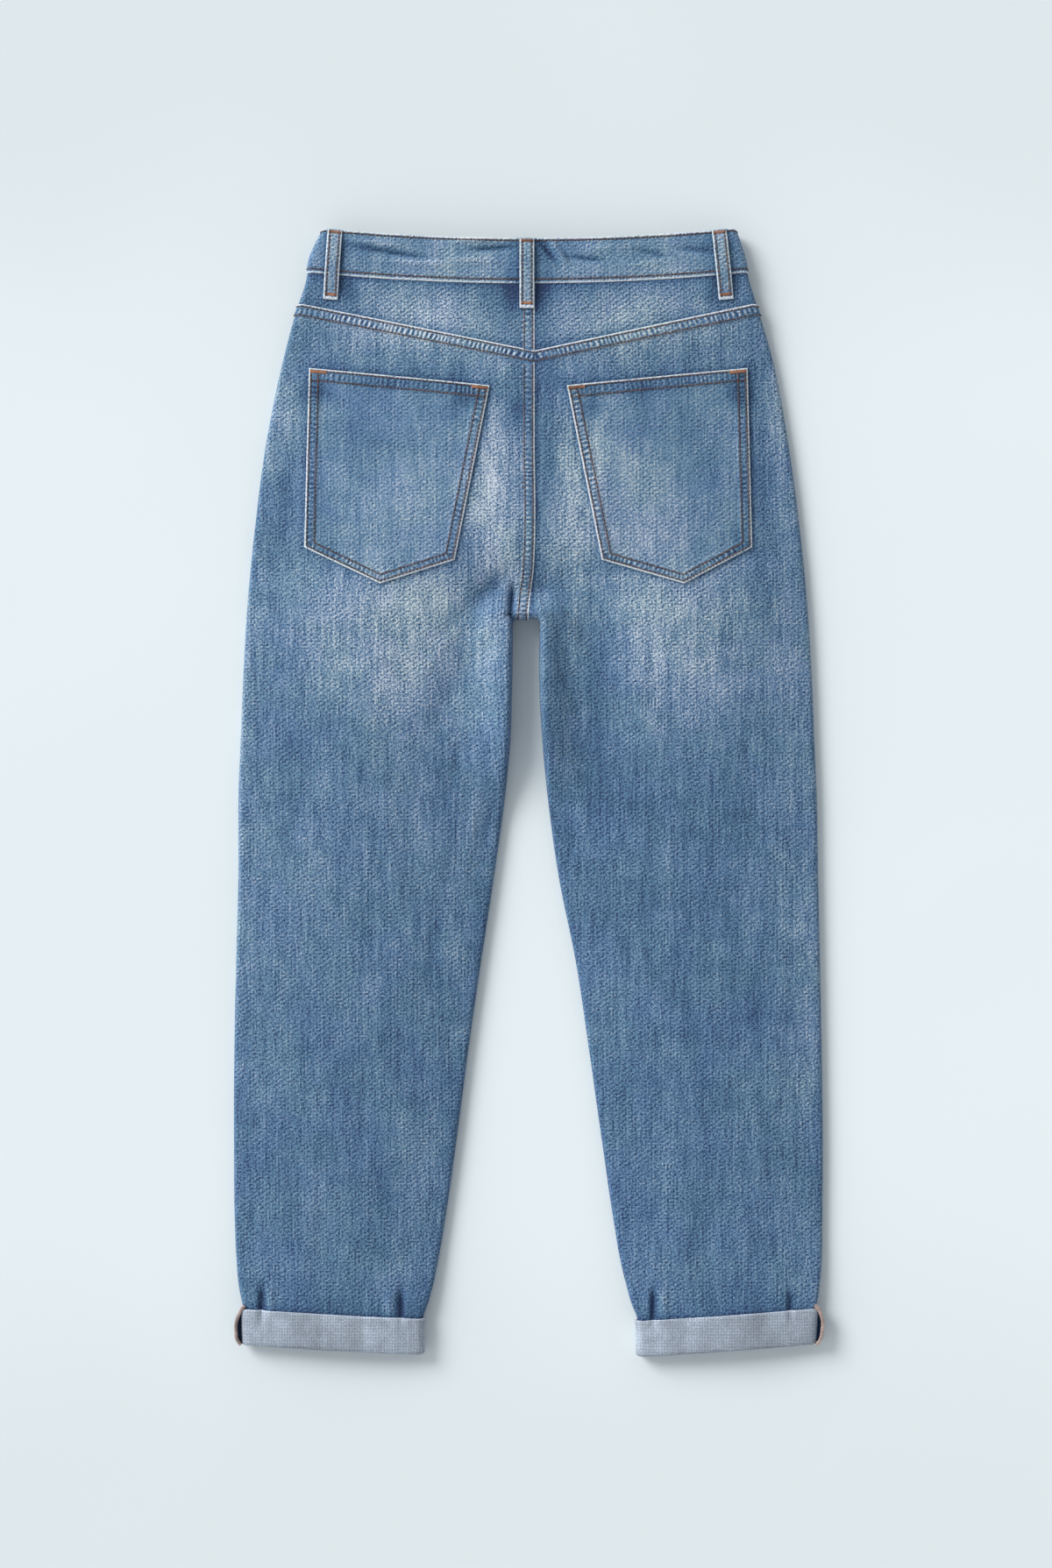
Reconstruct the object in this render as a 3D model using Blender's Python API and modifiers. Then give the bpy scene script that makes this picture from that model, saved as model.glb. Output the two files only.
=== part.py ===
"""Mom jeans laid flat on their front, with the back side up and the hems turned up once into cuffs.

X runs to the right as seen from above, Y from the hems to the waist, and Z up from the surface that the
jeans lie on, with the origin under the middle. Every size below is in millimetres, and MM turns the finished
points into metres. The two layers make one flattened tube over the seat and one down each leg: LEVELS gives
how high they lie and OUTLINE where they fold. Each sewn piece is a wall of cloth between two grids of
points, both moved out from that one shape, so what lies on a panel keeps an even distance from it.
"""

import math
from collections import namedtuple

import bmesh
import bpy
import numpy as np

MM = 0.001
SIDES = {"left": -1, "right": 1}

# Cloth and seams
WALL = 1.6  # heavy denim, one layer with its finish
GAP = 0.3  # between pieces that are sewn together
FOLD = 4.5  # plan radius of a folded edge
FOLD_STEPS = 5
MARGIN = 2.0  # the back reaches this far under, past its fold, to the side seam and the inseam
FELL_WIDTH = 8.8  # a flat-felled seam
FELL_RISE = 0.7
FELL_SLOPE = 0.8

# Waist
WAIST_Y = 483.0  # top of the waistband at the sides
WAIST_HALF = 184.0
BAND_DEPTH = 39.0
BAND_OUT, BAND_IN = 0.8, 1.6  # the doubled band, outside and inside the panels' outer face
BACK_DIP, BACK_DIP_POWER = 10.0, 2.0
FRONT_DIP, FRONT_DIP_POWER = 20.0, 2.0
PANEL_TOP_Y = WAIST_Y - BAND_DEPTH - GAP  # upper edge of the panels, at the sides

# Ends of the waistband at the centre front
OVERLAP, UNDERLAP = 18.0, 35.0
UNDERLAP_RAISED_X, UNDERLAP_LEVEL_X = 28.0, 52.0  # between these the under end comes down to the front
BAND_ROWS = (0, 0.3, 0.7, 1)
BAND_BACK_COLUMNS = 40
BAND_UNDER_X = (-UNDERLAP, -8, 20, UNDERLAP_RAISED_X, 34, 40, 46, UNDERLAP_LEVEL_X, 96, 140)
BAND_OVER_X = (-140, -96, -50, -20, OVERLAP)

# Seams down the middle
CENTRE_FRONT = -1.5
CROTCH_Y = 148.3
CROTCH_CORNER = 5.0
CROTCH_BLEND = 62.0  # above the crotch, the length in which the seat's one arch turns into the legs' two
YOKE_SIDE_Y, YOKE_CENTRE_Y = 416.5, 375.5

# Front pockets: the opening of each is a quarter ellipse
SCOOP_WIDTH, SCOOP_DEPTH = 85.0, 80.0
SCOOP_DEGREES = (0, 20, 38, 55, 71)
SCOOP_Y = PANEL_TOP_Y - SCOOP_DEPTH
FACING_REACH = 18.0  # how far the facing runs on past the opening
FACING_INSET = 0.5  # from the side's fold
FACING_WALL = 1.2
FACING_DEGREES = (0, 16, 32, 48, 64, 78)

# Fly
ZIP_LENGTH, TAPE_HALF, CHAIN_HALF, SLIDER_HALF = 150.0, 12.0, 2.5, 4.5
TAPE, CHAIN_RISE = 1.2, 0.7
SLIDER_TOP, SLIDER_END = 1.5, 12.0  # down from the zip's upper end
ZIP_ROWS = (0, SLIDER_TOP, SLIDER_END, 13, 32, 50, 68, 90, ZIP_LENGTH)
FLY_LENGTH, FLY_LEFT, FLY_RIGHT = 168.0, 24.0, 18.0
FLY_ROUND, FLY_END_SHARE = 118.0, 0.28  # where the shield starts to round off, and its width at the end
FLY_ROWS = (0, 20, 40, 60, 85, FLY_ROUND, 140, 156, FLY_LENGTH)
FLY_SHARES = (0, 0.33, 0.67, 1)

# Button
BUTTON_SIDES = 20

# Cuffs, which show the cloth's pale inner side
CUFF_DEPTH = 31.0
HEM_IN_CUFF = 28.0  # how far a leg runs down inside its cuff
CUFF_TURN = 1.2
CUFF_ROWS = (CUFF_TURN, CUFF_DEPTH / 2, HEM_IN_CUFF)  # rows of the leg inside the cuff
CUFF_SHARES = np.linspace(0, 1, 11)

# Belt loops
LOOP_WIDTH, LOOP_LENGTH, LOOP_WALL = 12.5, 60.0, 1.8
LOOP_RISE = 1.5  # how far a loop stands clear of the band between its ends
LOOP_INSET = 0.5  # below the band's top edge

Outline = namedtuple("Outline", "y left_side left_inseam right_inseam right_side")
OUTLINE = (
    Outline(483, -176.0, -13.0, 9.8, 177.5),
    Outline(453, -187.8, -13.0, 9.8, 186.2),
    Outline(441, -189.6, -13.0, 9.8, 188.5),
    Outline(408, -200.0, -13.0, 9.8, 198.8),
    Outline(363, -212.0, -13.0, 9.8, 211.6),
    Outline(303, -224.2, -13.0, 9.8, 222.5),
    Outline(228, -234.3, -13.0, 9.8, 232.7),
    Outline(153, -241.5, -13.0, 9.8, 240.0),
    Outline(93, -244.8, -13.6, 9.3, 243.5),
    Outline(40, -247.0, -15.4, 12.2, 245.6),
    Outline(3, -248.5, -19.0, 15.8, 247.3),
    Outline(-72, -248.7, -29.2, 26.0, 248.7),
    Outline(-147, -250.7, -40.6, 41.0, 250.3),
    Outline(-222, -252.2, -51.4, 52.2, 251.7),
    Outline(-297, -252.5, -61.2, 62.8, 252.7),
    Outline(-372, -251.7, -72.0, 73.8, 252.3),
    Outline(-402, -250.3, -77.2, 79.0, 251.7),
    Outline(-425, -247.9, -82.0, 84.6, 249.8),
    Outline(-440, -244.8, -86.4, 89.0, 247.2),
    Outline(-448, -243.6, -89.4, 92.4, 245.8),
    Outline(-484, -243.0, -91.2, 95.0, 243.8),
)

# Height of the lower layer's outer face, of a folded edge's top, and of the upper layer midway
Level = namedtuple("Level", "y under edge crown")
LEVELS = (
    Level(483, 4.5, 14.5, 18.0),
    Level(441, 4.5, 14.5, 19.5),
    Level(424, 4.4, 13.8, 20.5),
    Level(398, 2.8, 12.0, 21.5),
    Level(368, 0.6, 9.8, 22.5),
    Level(350, 0.0, 9.2, 23.5),
    Level(300, 0.0, 9.0, 24.5),
    Level(230, 0.0, 9.0, 25.0),
    Level(150, 0.0, 9.0, 22.0),
    Level(80, 0.0, 9.0, 19.0),
    Level(0, 0.0, 9.0, 17.0),
    Level(-150, 0.0, 9.0, 15.5),
    Level(-300, 0.0, 9.0, 14.5),
    Level(-395, 0.0, 9.4, 14.0),
    Level(-430, 1.8, 11.2, 14.8),
    Level(-445, 3.0, 12.3, 15.7),
    Level(-484, 3.0, 12.3, 15.7),
)

Seam = namedtuple("Seam", "y x")
CENTRE_BACK = (
    Seam(484, 5.0),
    Seam(300, 5.0),
    Seam(205, 5.0),
    Seam(190, 4.2),
    Seam(168, 1.4),
    Seam(148, -0.5),
)

Ridge = namedtuple("Ridge", "x y degrees half_length half_width rise")
RIDGES = (
    Ridge(-27, 150, 55, 42, 11, 3.0),
    Ridge(-42, 163, 46, 40, 11, -2.2),
    Ridge(21, 146, 111, 52, 11, -2.6),
    Ridge(44, 118, 118, 60, 14, 1.8),
    Ridge(-62, 92, 62, 60, 16, -1.6),
    Ridge(96, 68, 100, 75, 20, 1.2),
    Ridge(-140, 60, 80, 90, 24, 1.2),
    Ridge(-150, -118, 12, 60, 22, -1.4),
    Ridge(168, -104, 170, 64, 24, -1.4),
    Ridge(-176, -396, 84, 52, 16, -1.4),
    Ridge(150, -398, 92, 50, 15, -1.4),
)

# Rows of a leg panel over the seat: where each meets the side and the centre seam
SeatRow = namedtuple("SeatRow", "side centre")
SEAT_ROWS = (
    SeatRow(390, 352),
    SeatRow(SCOOP_Y, 330),
    SeatRow(332, 304),
    SeatRow(300, 277),
    SeatRow(268, 250),
    SeatRow(236, 224),
    SeatRow(206, 201),
    SeatRow(184, 184),
    SeatRow(166, 168),
)
FELL_ROWS = (0, FELL_WIDTH, FELL_WIDTH + FELL_SLOPE)  # down from the yoke seam
CROTCH_SIDE_ROWS = (150.0, 142.0, 134.0, 126.0)
CROTCH_DEGREES = (90, 90, 45, 0)
LEG_SHARES = (0.05, 0.11, 0.18, 0.25, 0.33, 0.41, 0.49, 0.57, 0.65, 0.73, 0.8, 0.87, 0.92, 0.955, 0.98, 1)
PANEL_SHARES = (0, 0.07, 0.17, 0.3, 0.44, 0.57, 0.68, 0.77, 0.85, 0.91)
YOKE_SHARES = (0, 0.05, 0.11, 0.18, 0.26, 0.35, 0.45, 0.55, 0.65, 0.75, 0.85, 0.91)
YOKE_ROWS = (0, 0.34, 0.67, 1)
FRONT_SHARES = (0, 0.12, 0.35, 0.65, 0.88, 1)
FACING_SHARES = (0, 0.3, 0.65, 1)

# Upper edge of each cuff, at the side and at the inseam
CuffTop = namedtuple("CuffTop", "side inseam")
CUFF_TOPS = {"left": CuffTop(-442.5, -450.5), "right": CuffTop(-442.0, -452.3)}

# A cuff's section, once round: down from its upper edge, and out from the leg's face
CuffPoint = namedtuple("CuffPoint", "down out")
CUFF_SECTION = (
    CuffPoint(0, GAP + 0.4),
    CuffPoint(0, 2.1),
    CuffPoint(CUFF_TURN, 2.7),
    CuffPoint(CUFF_DEPTH / 2, 3.0),
    CuffPoint(CUFF_DEPTH - 2.0, 2.7),
    CuffPoint(CUFF_DEPTH - 0.4, 1.3),
    CuffPoint(CUFF_DEPTH, 0.1),
    CuffPoint(CUFF_DEPTH - 0.6, -WALL),
    CuffPoint(HEM_IN_CUFF + GAP, -WALL),
    CuffPoint(HEM_IN_CUFF + GAP, GAP),
    CuffPoint(CUFF_DEPTH / 2, GAP),
    CuffPoint(CUFF_TURN, GAP),
)

# Each belt loop's layer, where its ends lie, and how far the cloth under its lower end is raised
LoopPlace = namedtuple("LoopPlace", "name on_back x_top x_bottom raised")
LOOPS = (
    LoopPlace("belt_loop_back", True, -1.1, -1.1, FELL_RISE),
    LoopPlace("belt_loop_side_left", True, -164.9, -169.0, 0),
    LoopPlace("belt_loop_side_right", True, 163.0, 169.2, 0),
    LoopPlace("belt_loop_front_left", False, -98.0, -96.0, 0),
    LoopPlace("belt_loop_front_right", False, 96.0, 94.0, 0),
)

# Down a belt loop: how much of the band's height is still under it, and how much of LOOP_RISE it has
LoopRow = namedtuple("LoopRow", "down band clear")
LOOP_ROWS = (
    LoopRow(0, 1, 0),
    LoopRow(4, 1, 0),
    LoopRow(9, 1, 0.73),
    LoopRow(20, 1, 1),
    LoopRow(31, 1, 1),
    LoopRow(40, 1, 0.8),
    LoopRow(48, 0.6, 0.5),
    LoopRow(55, 0, 0),
    LoopRow(LOOP_LENGTH, 0, 0),
)

# A back pocket's corners, as distances from the middle towards the side
Corner = namedtuple("Corner", "x y")
POCKET = {
    "inner_top": Corner(32.8, 346.4),
    "inner_bottom": Corner(62.6, 197.9),
    "outer_bottom": Corner(191.5, 209.3),
    "outer_top": Corner(187.6, 362.8),
}
POCKET_POINTS = {"left": Corner(126.4, 177.8), "right": Corner(132.8, 177.8)}
CUTTER_HEIGHT = 60.0

# The shank button's profile, from the top of the shank round to the middle of the dished head
ButtonPoint = namedtuple("ButtonPoint", "radius z")
BUTTON_PROFILE = (
    ButtonPoint(0, 3.4),
    ButtonPoint(4.5, 3.4),
    ButtonPoint(4.5, 2.5),
    ButtonPoint(8.1, 2.3),
    ButtonPoint(8.5, 1.7),
    ButtonPoint(8.0, 0.3),
    ButtonPoint(7.1, 0),
    ButtonPoint(6.1, 0.5),
    ButtonPoint(0, 0.8),
)

Look = namedtuple("Look", "name colour roughness metallic")
DENIM = Look("denim", (0.105, 0.195, 0.325), 0.85, 0.0)
DENIM_FADED = Look("denim_faded", (0.175, 0.265, 0.385), 0.85, 0.0)
DENIM_REVERSE = Look("denim_reverse", (0.31, 0.36, 0.43), 0.88, 0.0)
ZIP_TAPE = Look("zip_tape", (0.06, 0.09, 0.15), 0.8, 0.0)
METAL = Look("button_metal", (0.42, 0.33, 0.22), 0.35, 1.0)


# The shape that every piece is made from


def soft(t):
    """A smooth step from 0 to 1 as t runs from 0 to 1."""
    t = np.clip(t, 0, 1)
    return t * t * (3 - 2 * t)


def read(table, column, y):
    """The named column at y, from a smooth curve through the table's rows."""
    rows = sorted(table)
    ys = np.array([row.y for row in rows], float)
    values = np.array([getattr(row, column) for row in rows], float)
    slopes = np.gradient(values, ys)
    y = np.clip(np.asarray(y, float), ys[0], ys[-1])
    k = np.clip(np.searchsorted(ys, y) - 1, 0, len(ys) - 2)
    span = ys[k + 1] - ys[k]
    t = (y - ys[k]) / span
    start, end = (1 + 2 * t) * (1 - t) ** 2, t * t * (3 - 2 * t)
    leave, arrive = t * (1 - t) ** 2, t * t * (t - 1)
    return start * values[k] + end * values[k + 1] + span * (leave * slopes[k] + arrive * slopes[k + 1])


def side_x(side, y):
    return read(OUTLINE, f"{side}_side", y)


def inseam_x(side, y):
    return read(OUTLINE, f"{side}_inseam", y)


def under(y):
    """Height of the lower layer's outer face above the surface that the jeans lie on."""
    return np.maximum(read(LEVELS, "under", y), 0)


def between_folds(x, first, last):
    """A half cosine: 0 at each folded edge, 1 midway."""
    place = (2 * x - first - last) / (last - first)
    return np.cos(math.pi / 2 * np.clip(place, -1, 1))


def crown_share(x, y):
    """How much of its rise the upper layer has at a point: one arch over the seat and one over each leg."""
    left, right = side_x("left", y) + FOLD, side_x("right", y) - FOLD
    seat = between_folds(x, left, right)
    left_leg = between_folds(x, left, inseam_x("left", y) - FOLD)
    right_leg = between_folds(x, inseam_x("right", y) + FOLD, right)
    legs = np.where(x < CENTRE_FRONT, left_leg, right_leg)
    seat_part = soft((y - CROTCH_Y - FOLD) / CROTCH_BLEND)
    return seat_part * seat + (1 - seat_part) * legs


def ridges(x, y):
    """The large soft ridges and troughs of the upper layer, each fading out along and across its line."""
    total = np.zeros(np.broadcast(x, y).shape)
    for ridge in RIDGES:
        turn = math.radians(ridge.degrees)
        along = (x - ridge.x) * math.cos(turn) + (y - ridge.y) * math.sin(turn)
        off_line = (y - ridge.y) * math.cos(turn) - (x - ridge.x) * math.sin(turn)
        fade = soft(1.2 - np.abs(along) / ridge.half_length)
        total += ridge.rise * fade * np.exp(-2 * (off_line / ridge.half_width) ** 2)
    return total


def back_height(x, y):
    """Height of the upper layer's outer face. The ridges die out towards the folded edges."""
    edge, crown = read(LEVELS, "edge", y), read(LEVELS, "crown", y)
    share = crown_share(x, y)
    return edge + (crown - edge) * share + ridges(x, y) * soft(share * 2.5)


def layer(x, y, up):
    """Points and outward normals on the upper or the lower layer."""
    x, y = np.broadcast_arrays(np.asarray(x, float), np.asarray(y, float))
    height = back_height(x, y) if up else under(y)
    normals = np.zeros((*x.shape, 3))
    normals[..., 2] = 1 if up else -1
    return np.stack([x, y, height], -1), normals


def turned_edge(x, y, toward_x, toward_y, margin=MARGIN, y_under=None):
    """Points and normals from the upper layer at x, y out round the fold, down, and back underneath.

    The fold is a half ellipse, FOLD wide in plan, between the upper and the lower layer. A margin of None
    ends it where it meets the lower layer.
    """
    given = (x, y, toward_x, toward_y, y if y_under is None else y_under)
    columns = (np.asarray(value, float)[..., None] for value in given)
    x, y, toward_x, toward_y, y_under = np.broadcast_arrays(*columns)
    angle = np.linspace(math.pi / 2, -math.pi / 2, FOLD_STEPS + 1)
    top, low = back_height(x, y), under(y_under)
    out = FOLD * np.cos(angle)
    sinking = (1 - np.sin(angle)) / 2
    points = np.stack(
        [
            x + toward_x * out,
            y + (y_under - y) * sinking + toward_y * out,
            (top + low) / 2 + (top - low) / 2 * np.sin(angle),
        ],
        -1,
    )
    flat = np.broadcast_to(np.cos(angle), points.shape[:-1])
    normals = np.stack([toward_x * flat, toward_y * flat, np.broadcast_to(np.sin(angle), flat.shape)], -1)
    if margin is None:
        return points, normals
    last = points[..., -1:, :] - margin * np.stack([toward_x, toward_y, 0 * toward_x], -1)
    return np.concatenate([points, last], -2), np.concatenate([normals, normals[..., -1:, :]], -2)


def moved(points, normals, distance):
    return points + normals * np.asarray(distance, float)[..., None]


# Meshes


def material(look):
    found = bpy.data.materials.get(look.name)
    if found:
        return found
    made = bpy.data.materials.new(look.name)
    made.use_nodes = True
    shader = made.node_tree.nodes["Principled BSDF"]
    shader.inputs["Base Color"].default_value = (*look.colour, 1)
    shader.inputs["Roughness"].default_value = look.roughness
    shader.inputs["Metallic"].default_value = look.metallic
    return made


def solid(name, points, faces, look):
    """A mesh object from millimetre points, with its faces turned outwards."""
    used, faces = np.unique(np.array(faces), return_inverse=True)
    mesh = bpy.data.meshes.new(name)
    mesh.from_pydata((np.asarray(points)[used] * MM).tolist(), [], faces.reshape(-1, 4).tolist())
    shape = bmesh.new()
    shape.from_mesh(mesh)
    bmesh.ops.recalc_face_normals(shape, faces=shape.faces)
    shape.to_mesh(mesh)
    shape.free()
    mesh.shade_smooth()
    mesh.set_sharp_from_angle(angle=math.radians(50))
    mesh.materials.append(material(look))
    made = bpy.data.objects.new(name, mesh)
    bpy.data.collections["mom_jeans"].objects.link(made)
    return made


def squares(index, cells):
    """The corners of each grid square that is cloth."""
    return np.stack([index[:-1, :-1], index[:-1, 1:], index[1:, 1:], index[1:, :-1]], -1)[cells]


def rims(index, cells):
    """Both ends of each side of a cloth square that has no cloth beyond it."""
    padded = np.pad(cells, 1)
    sides = (
        (index[:-1, :-1], index[:-1, 1:], padded[:-2, 1:-1]),
        (index[1:, :-1], index[1:, 1:], padded[2:, 1:-1]),
        (index[:-1, :-1], index[1:, :-1], padded[1:-1, :-2]),
        (index[:-1, 1:], index[1:, 1:], padded[1:-1, 2:]),
    )
    return np.concatenate([np.stack([a, b], -1)[cells & ~beyond] for a, b, beyond in sides])


def wall(name, outer, inner, look, cells=None):
    """Cloth between two grids of points. cells marks the grid squares that are cloth."""
    rows, columns = outer.shape[:2]
    count = rows * columns
    index = np.arange(count).reshape(rows, columns)
    if cells is None:
        cells = np.ones((rows - 1, columns - 1), bool)
    top = squares(index, cells)
    edge = rims(index, cells)
    rim = np.concatenate([edge, edge[:, ::-1] + count], 1)
    points = np.concatenate([outer.reshape(-1, 3), inner.reshape(-1, 3)])
    return solid(name, points, np.concatenate([top, top + count, rim]), look)


# Leg panels

PanelRows = namedtuple("PanelRows", "y_side x_end y_end toward_x toward_y first_folded")


def panel_rows(side):
    """Where each row of a leg panel starts at the side, where it ends inwards, and which way it folds there.

    Over the seat a row ends at the centre back, with no fold. Then four rows turn round the corner of the
    crotch, and the rest end at the inseam, down to the hem inside the cuff.
    """
    sign = SIDES[side]
    seat_side = np.concatenate([YOKE_SIDE_Y - np.array(FELL_ROWS), [row.side for row in SEAT_ROWS]])
    seat_end = np.concatenate([YOKE_CENTRE_Y - np.array(FELL_ROWS), [row.centre for row in SEAT_ROWS]])
    seat_x = read(CENTRE_BACK, "x", seat_end) + sign * GAP / 2
    corner_x = float(inseam_x(side, CROTCH_Y)) - sign * CROTCH_CORNER
    corner_y = CROTCH_Y - CROTCH_CORNER
    turn = np.radians(CROTCH_DEGREES)
    crotch_x = corner_x + sign * CROTCH_CORNER * np.cos(turn)
    crotch_x[0] = float(read(CENTRE_BACK, "x", CROTCH_Y)) + sign * GAP / 2
    crotch_y = corner_y + CROTCH_CORNER * np.sin(turn)
    shares, cuff_rows = np.array(LEG_SHARES), np.array(CUFF_ROWS)
    cuff_top = CUFF_TOPS[side]
    last_side = CROTCH_SIDE_ROWS[-1]
    leg_side = np.concatenate([last_side + shares * (cuff_top.side - last_side), cuff_top.side - cuff_rows])
    leg_y = np.concatenate([corner_y + shares * (cuff_top.inseam - corner_y), cuff_top.inseam - cuff_rows])
    seat_toward = np.zeros((len(seat_x), 2))
    crotch_toward = np.stack([-sign * np.cos(turn), -np.sin(turn)], -1)
    leg_toward = np.tile((-sign, 0), (len(leg_y), 1))
    toward_x, toward_y = np.concatenate([seat_toward, crotch_toward, leg_toward]).T
    y_side = np.concatenate([seat_side, CROTCH_SIDE_ROWS, leg_side])
    x_end = np.concatenate([seat_x, crotch_x, inseam_x(side, leg_y)]) - toward_x * FOLD
    y_end = np.concatenate([seat_end, crotch_y, leg_y]) - toward_y * FOLD
    return PanelRows(y_side, x_end, y_end, toward_x, toward_y, len(seat_x))


def across(x_start, x_end, shares):
    """Columns across a row: the shares of its length, then the two edges of the felled seam, then its end."""
    length = np.abs(x_end - x_start)[:, None]
    fell = 1 - np.array([FELL_WIDTH + FELL_SLOPE, FELL_WIDTH]) / length
    return np.concatenate([np.tile(shares, (len(length), 1)), fell, np.ones_like(length)], 1)


def back_leg_grid(side):
    """Base points, normals and raised height of a back leg panel, with the cells that are cloth."""
    sign = SIDES[side]
    rows = panel_rows(side)
    x_start = side_x(side, rows.y_side) - sign * FOLD
    share = across(x_start, rows.x_end, PANEL_SHARES)
    x = x_start[:, None] + share * (rows.x_end - x_start)[:, None]
    y = rows.y_side[:, None] + share * (rows.y_end - rows.y_side)[:, None]
    top, top_normals = layer(x, y, up=True)
    outer, outer_normals = turned_edge(x_start, rows.y_side, sign, 0)
    inner, inner_normals = turned_edge(rows.x_end, rows.y_end, rows.toward_x, rows.toward_y)
    points = np.concatenate([outer[:, :0:-1], top, inner[:, 1:]], 1)
    normals = np.concatenate([outer_normals[:, :0:-1], top_normals, inner_normals[:, 1:]], 1)
    folded = inner.shape[1] - 1
    rise = np.zeros(points.shape[:2])
    rise[: len(FELL_ROWS) - 1] = FELL_RISE
    if side == "left":
        rise[: rows.first_folded + 1, -folded - 2 : -folded] = FELL_RISE
    cells = np.ones((len(points) - 1, points.shape[1] - 1), bool)
    cells[: rows.first_folded, -folded:] = False
    return points, normals, rise, cells


def back_leg(side):
    points, normals, rise, cells = back_leg_grid(side)
    return wall(f"back_leg_{side}", moved(points, normals, rise), moved(points, normals, -WALL), DENIM, cells)


def front_leg(side):
    """A front leg panel, flat on the surface below, with its pocket's opening cut from the upper corner."""
    sign = SIDES[side]
    rows = panel_rows(side)
    start = int(np.argmin(np.abs(rows.y_side - SCOOP_Y)))
    inset = MARGIN + GAP
    x_side = side_x(side, rows.y_side) - sign * (FOLD + inset)
    x_end, y_end = rows.x_end - rows.toward_x * inset, rows.y_end - rows.toward_y * inset
    x_centre = CENTRE_FRONT + sign * GAP / 2
    x_end[: rows.first_folded + 1] = x_centre
    turn = np.radians(SCOOP_DEGREES)
    scoop_x = x_side[start] - sign * SCOOP_WIDTH * np.cos(turn)
    scoop_y = PANEL_TOP_Y - SCOOP_DEPTH * np.sin(turn)
    centre_y = PANEL_TOP_Y + np.sin(turn) * (y_end[start] - PANEL_TOP_Y)
    x_first = np.concatenate([scoop_x, x_side[start:]])
    y_first = np.concatenate([scoop_y, rows.y_side[start:]])
    x_last = np.concatenate([np.full(len(turn), x_centre), x_end[start:]])
    y_last = np.concatenate([centre_y, y_end[start:]])
    share = np.array(FRONT_SHARES)
    x = x_first[:, None] + share * (x_last - x_first)[:, None]
    y = y_first[:, None] + share * (y_last - y_first)[:, None]
    dipping = np.zeros(len(x_first))
    dipping[: len(turn)] = 1 - np.sin(turn)
    y = y + dipping[:, None] * (waist_y(x, on_back=False) - WAIST_Y)
    points, normals = layer(x, y, up=False)
    return wall(f"front_leg_{side}", points, moved(points, normals, -WALL), DENIM)


# Waist


def waist_y(x, on_back):
    """Top edge of the waistband, which dips towards the middle and more so in front."""
    depth, power = (BACK_DIP, BACK_DIP_POWER) if on_back else (FRONT_DIP, FRONT_DIP_POWER)
    return WAIST_Y - depth * (1 - np.minimum(np.abs(x) / WAIST_HALF, 1) ** power)


def yoke(side):
    """The shaped strip between the waistband and a back leg panel, wrapped round the side fold."""
    sign = SIDES[side]
    down = np.array(YOKE_ROWS)
    low_y = YOKE_SIDE_Y + GAP
    y_side = PANEL_TOP_Y + down * (low_y - PANEL_TOP_Y)
    x_start = side_x(side, y_side) - sign * FOLD
    x_end = read(CENTRE_BACK, "x", y_side) + sign * GAP / 2
    share = across(x_start, x_end, YOKE_SHARES)
    x = x_start[:, None] + share * (x_end - x_start)[:, None]
    high = waist_y(x, on_back=True) - BAND_DEPTH - GAP
    low = low_y + share * (YOKE_CENTRE_Y - YOKE_SIDE_Y)
    y = high + down[:, None] * (low - high)
    top, top_normals = layer(x, y, up=True)
    front_dip = waist_y(x_start - sign * MARGIN, on_back=False) - WAIST_Y
    fold, fold_normals = turned_edge(x_start, y[:, 0], sign, 0, y_under=y_side + (1 - down) * front_dip)
    points = np.concatenate([fold[:, :0:-1], top], 1)
    normals = np.concatenate([fold_normals[:, :0:-1], top_normals], 1)
    rise = np.zeros(points.shape[:2])
    if side == "left":
        rise[:, -2:] = FELL_RISE
    return wall(f"yoke_{side}", moved(points, normals, rise), moved(points, normals, -WALL), DENIM_FADED)


def band_row(share):
    """Base points and normals once round the waistband, at a share of its depth, from its under end."""
    drop = share * BAND_DEPTH
    left, right = side_x("left", WAIST_Y - drop) + FOLD, side_x("right", WAIST_Y - drop) - FOLD
    under_x, over_x = np.array([*BAND_UNDER_X, right]), np.array([left, *BAND_OVER_X])
    back_x = np.linspace(right, left, BAND_BACK_COLUMNS)
    under_y, over_y = waist_y(under_x, False) - drop, waist_y(over_x, False) - drop
    back_y = waist_y(back_x, True) - drop
    lower, lower_normals = layer(under_x, under_y, up=False)
    past = (UNDERLAP_LEVEL_X - under_x) / (UNDERLAP_LEVEL_X - UNDERLAP_RAISED_X)
    lower[:, 2] += (BAND_OUT + BAND_IN + GAP) * soft(past)
    back, back_normals = layer(back_x, back_y, up=True)
    last, last_normals = layer(over_x, over_y, up=False)
    right_fold, right_normals = turned_edge(right, back_y[0], 1, 0, margin=None, y_under=under_y[-1])
    left_fold, left_normals = turned_edge(left, back_y[-1], -1, 0, margin=None, y_under=over_y[0])
    points = [lower, right_fold[-2:0:-1], back, left_fold[1:-1], last]
    normals = [lower_normals, right_normals[-2:0:-1], back_normals, left_normals[1:-1], last_normals]
    return np.concatenate(points), np.concatenate(normals)


def waistband():
    """The doubled band, once round the waist from its under end to its over end at the centre front."""
    rows = [band_row(share) for share in BAND_ROWS]
    points, normals = (np.array(part) for part in zip(*rows))
    return wall("waistband", moved(points, normals, BAND_OUT), moved(points, normals, -BAND_IN), DENIM_FADED)


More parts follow.
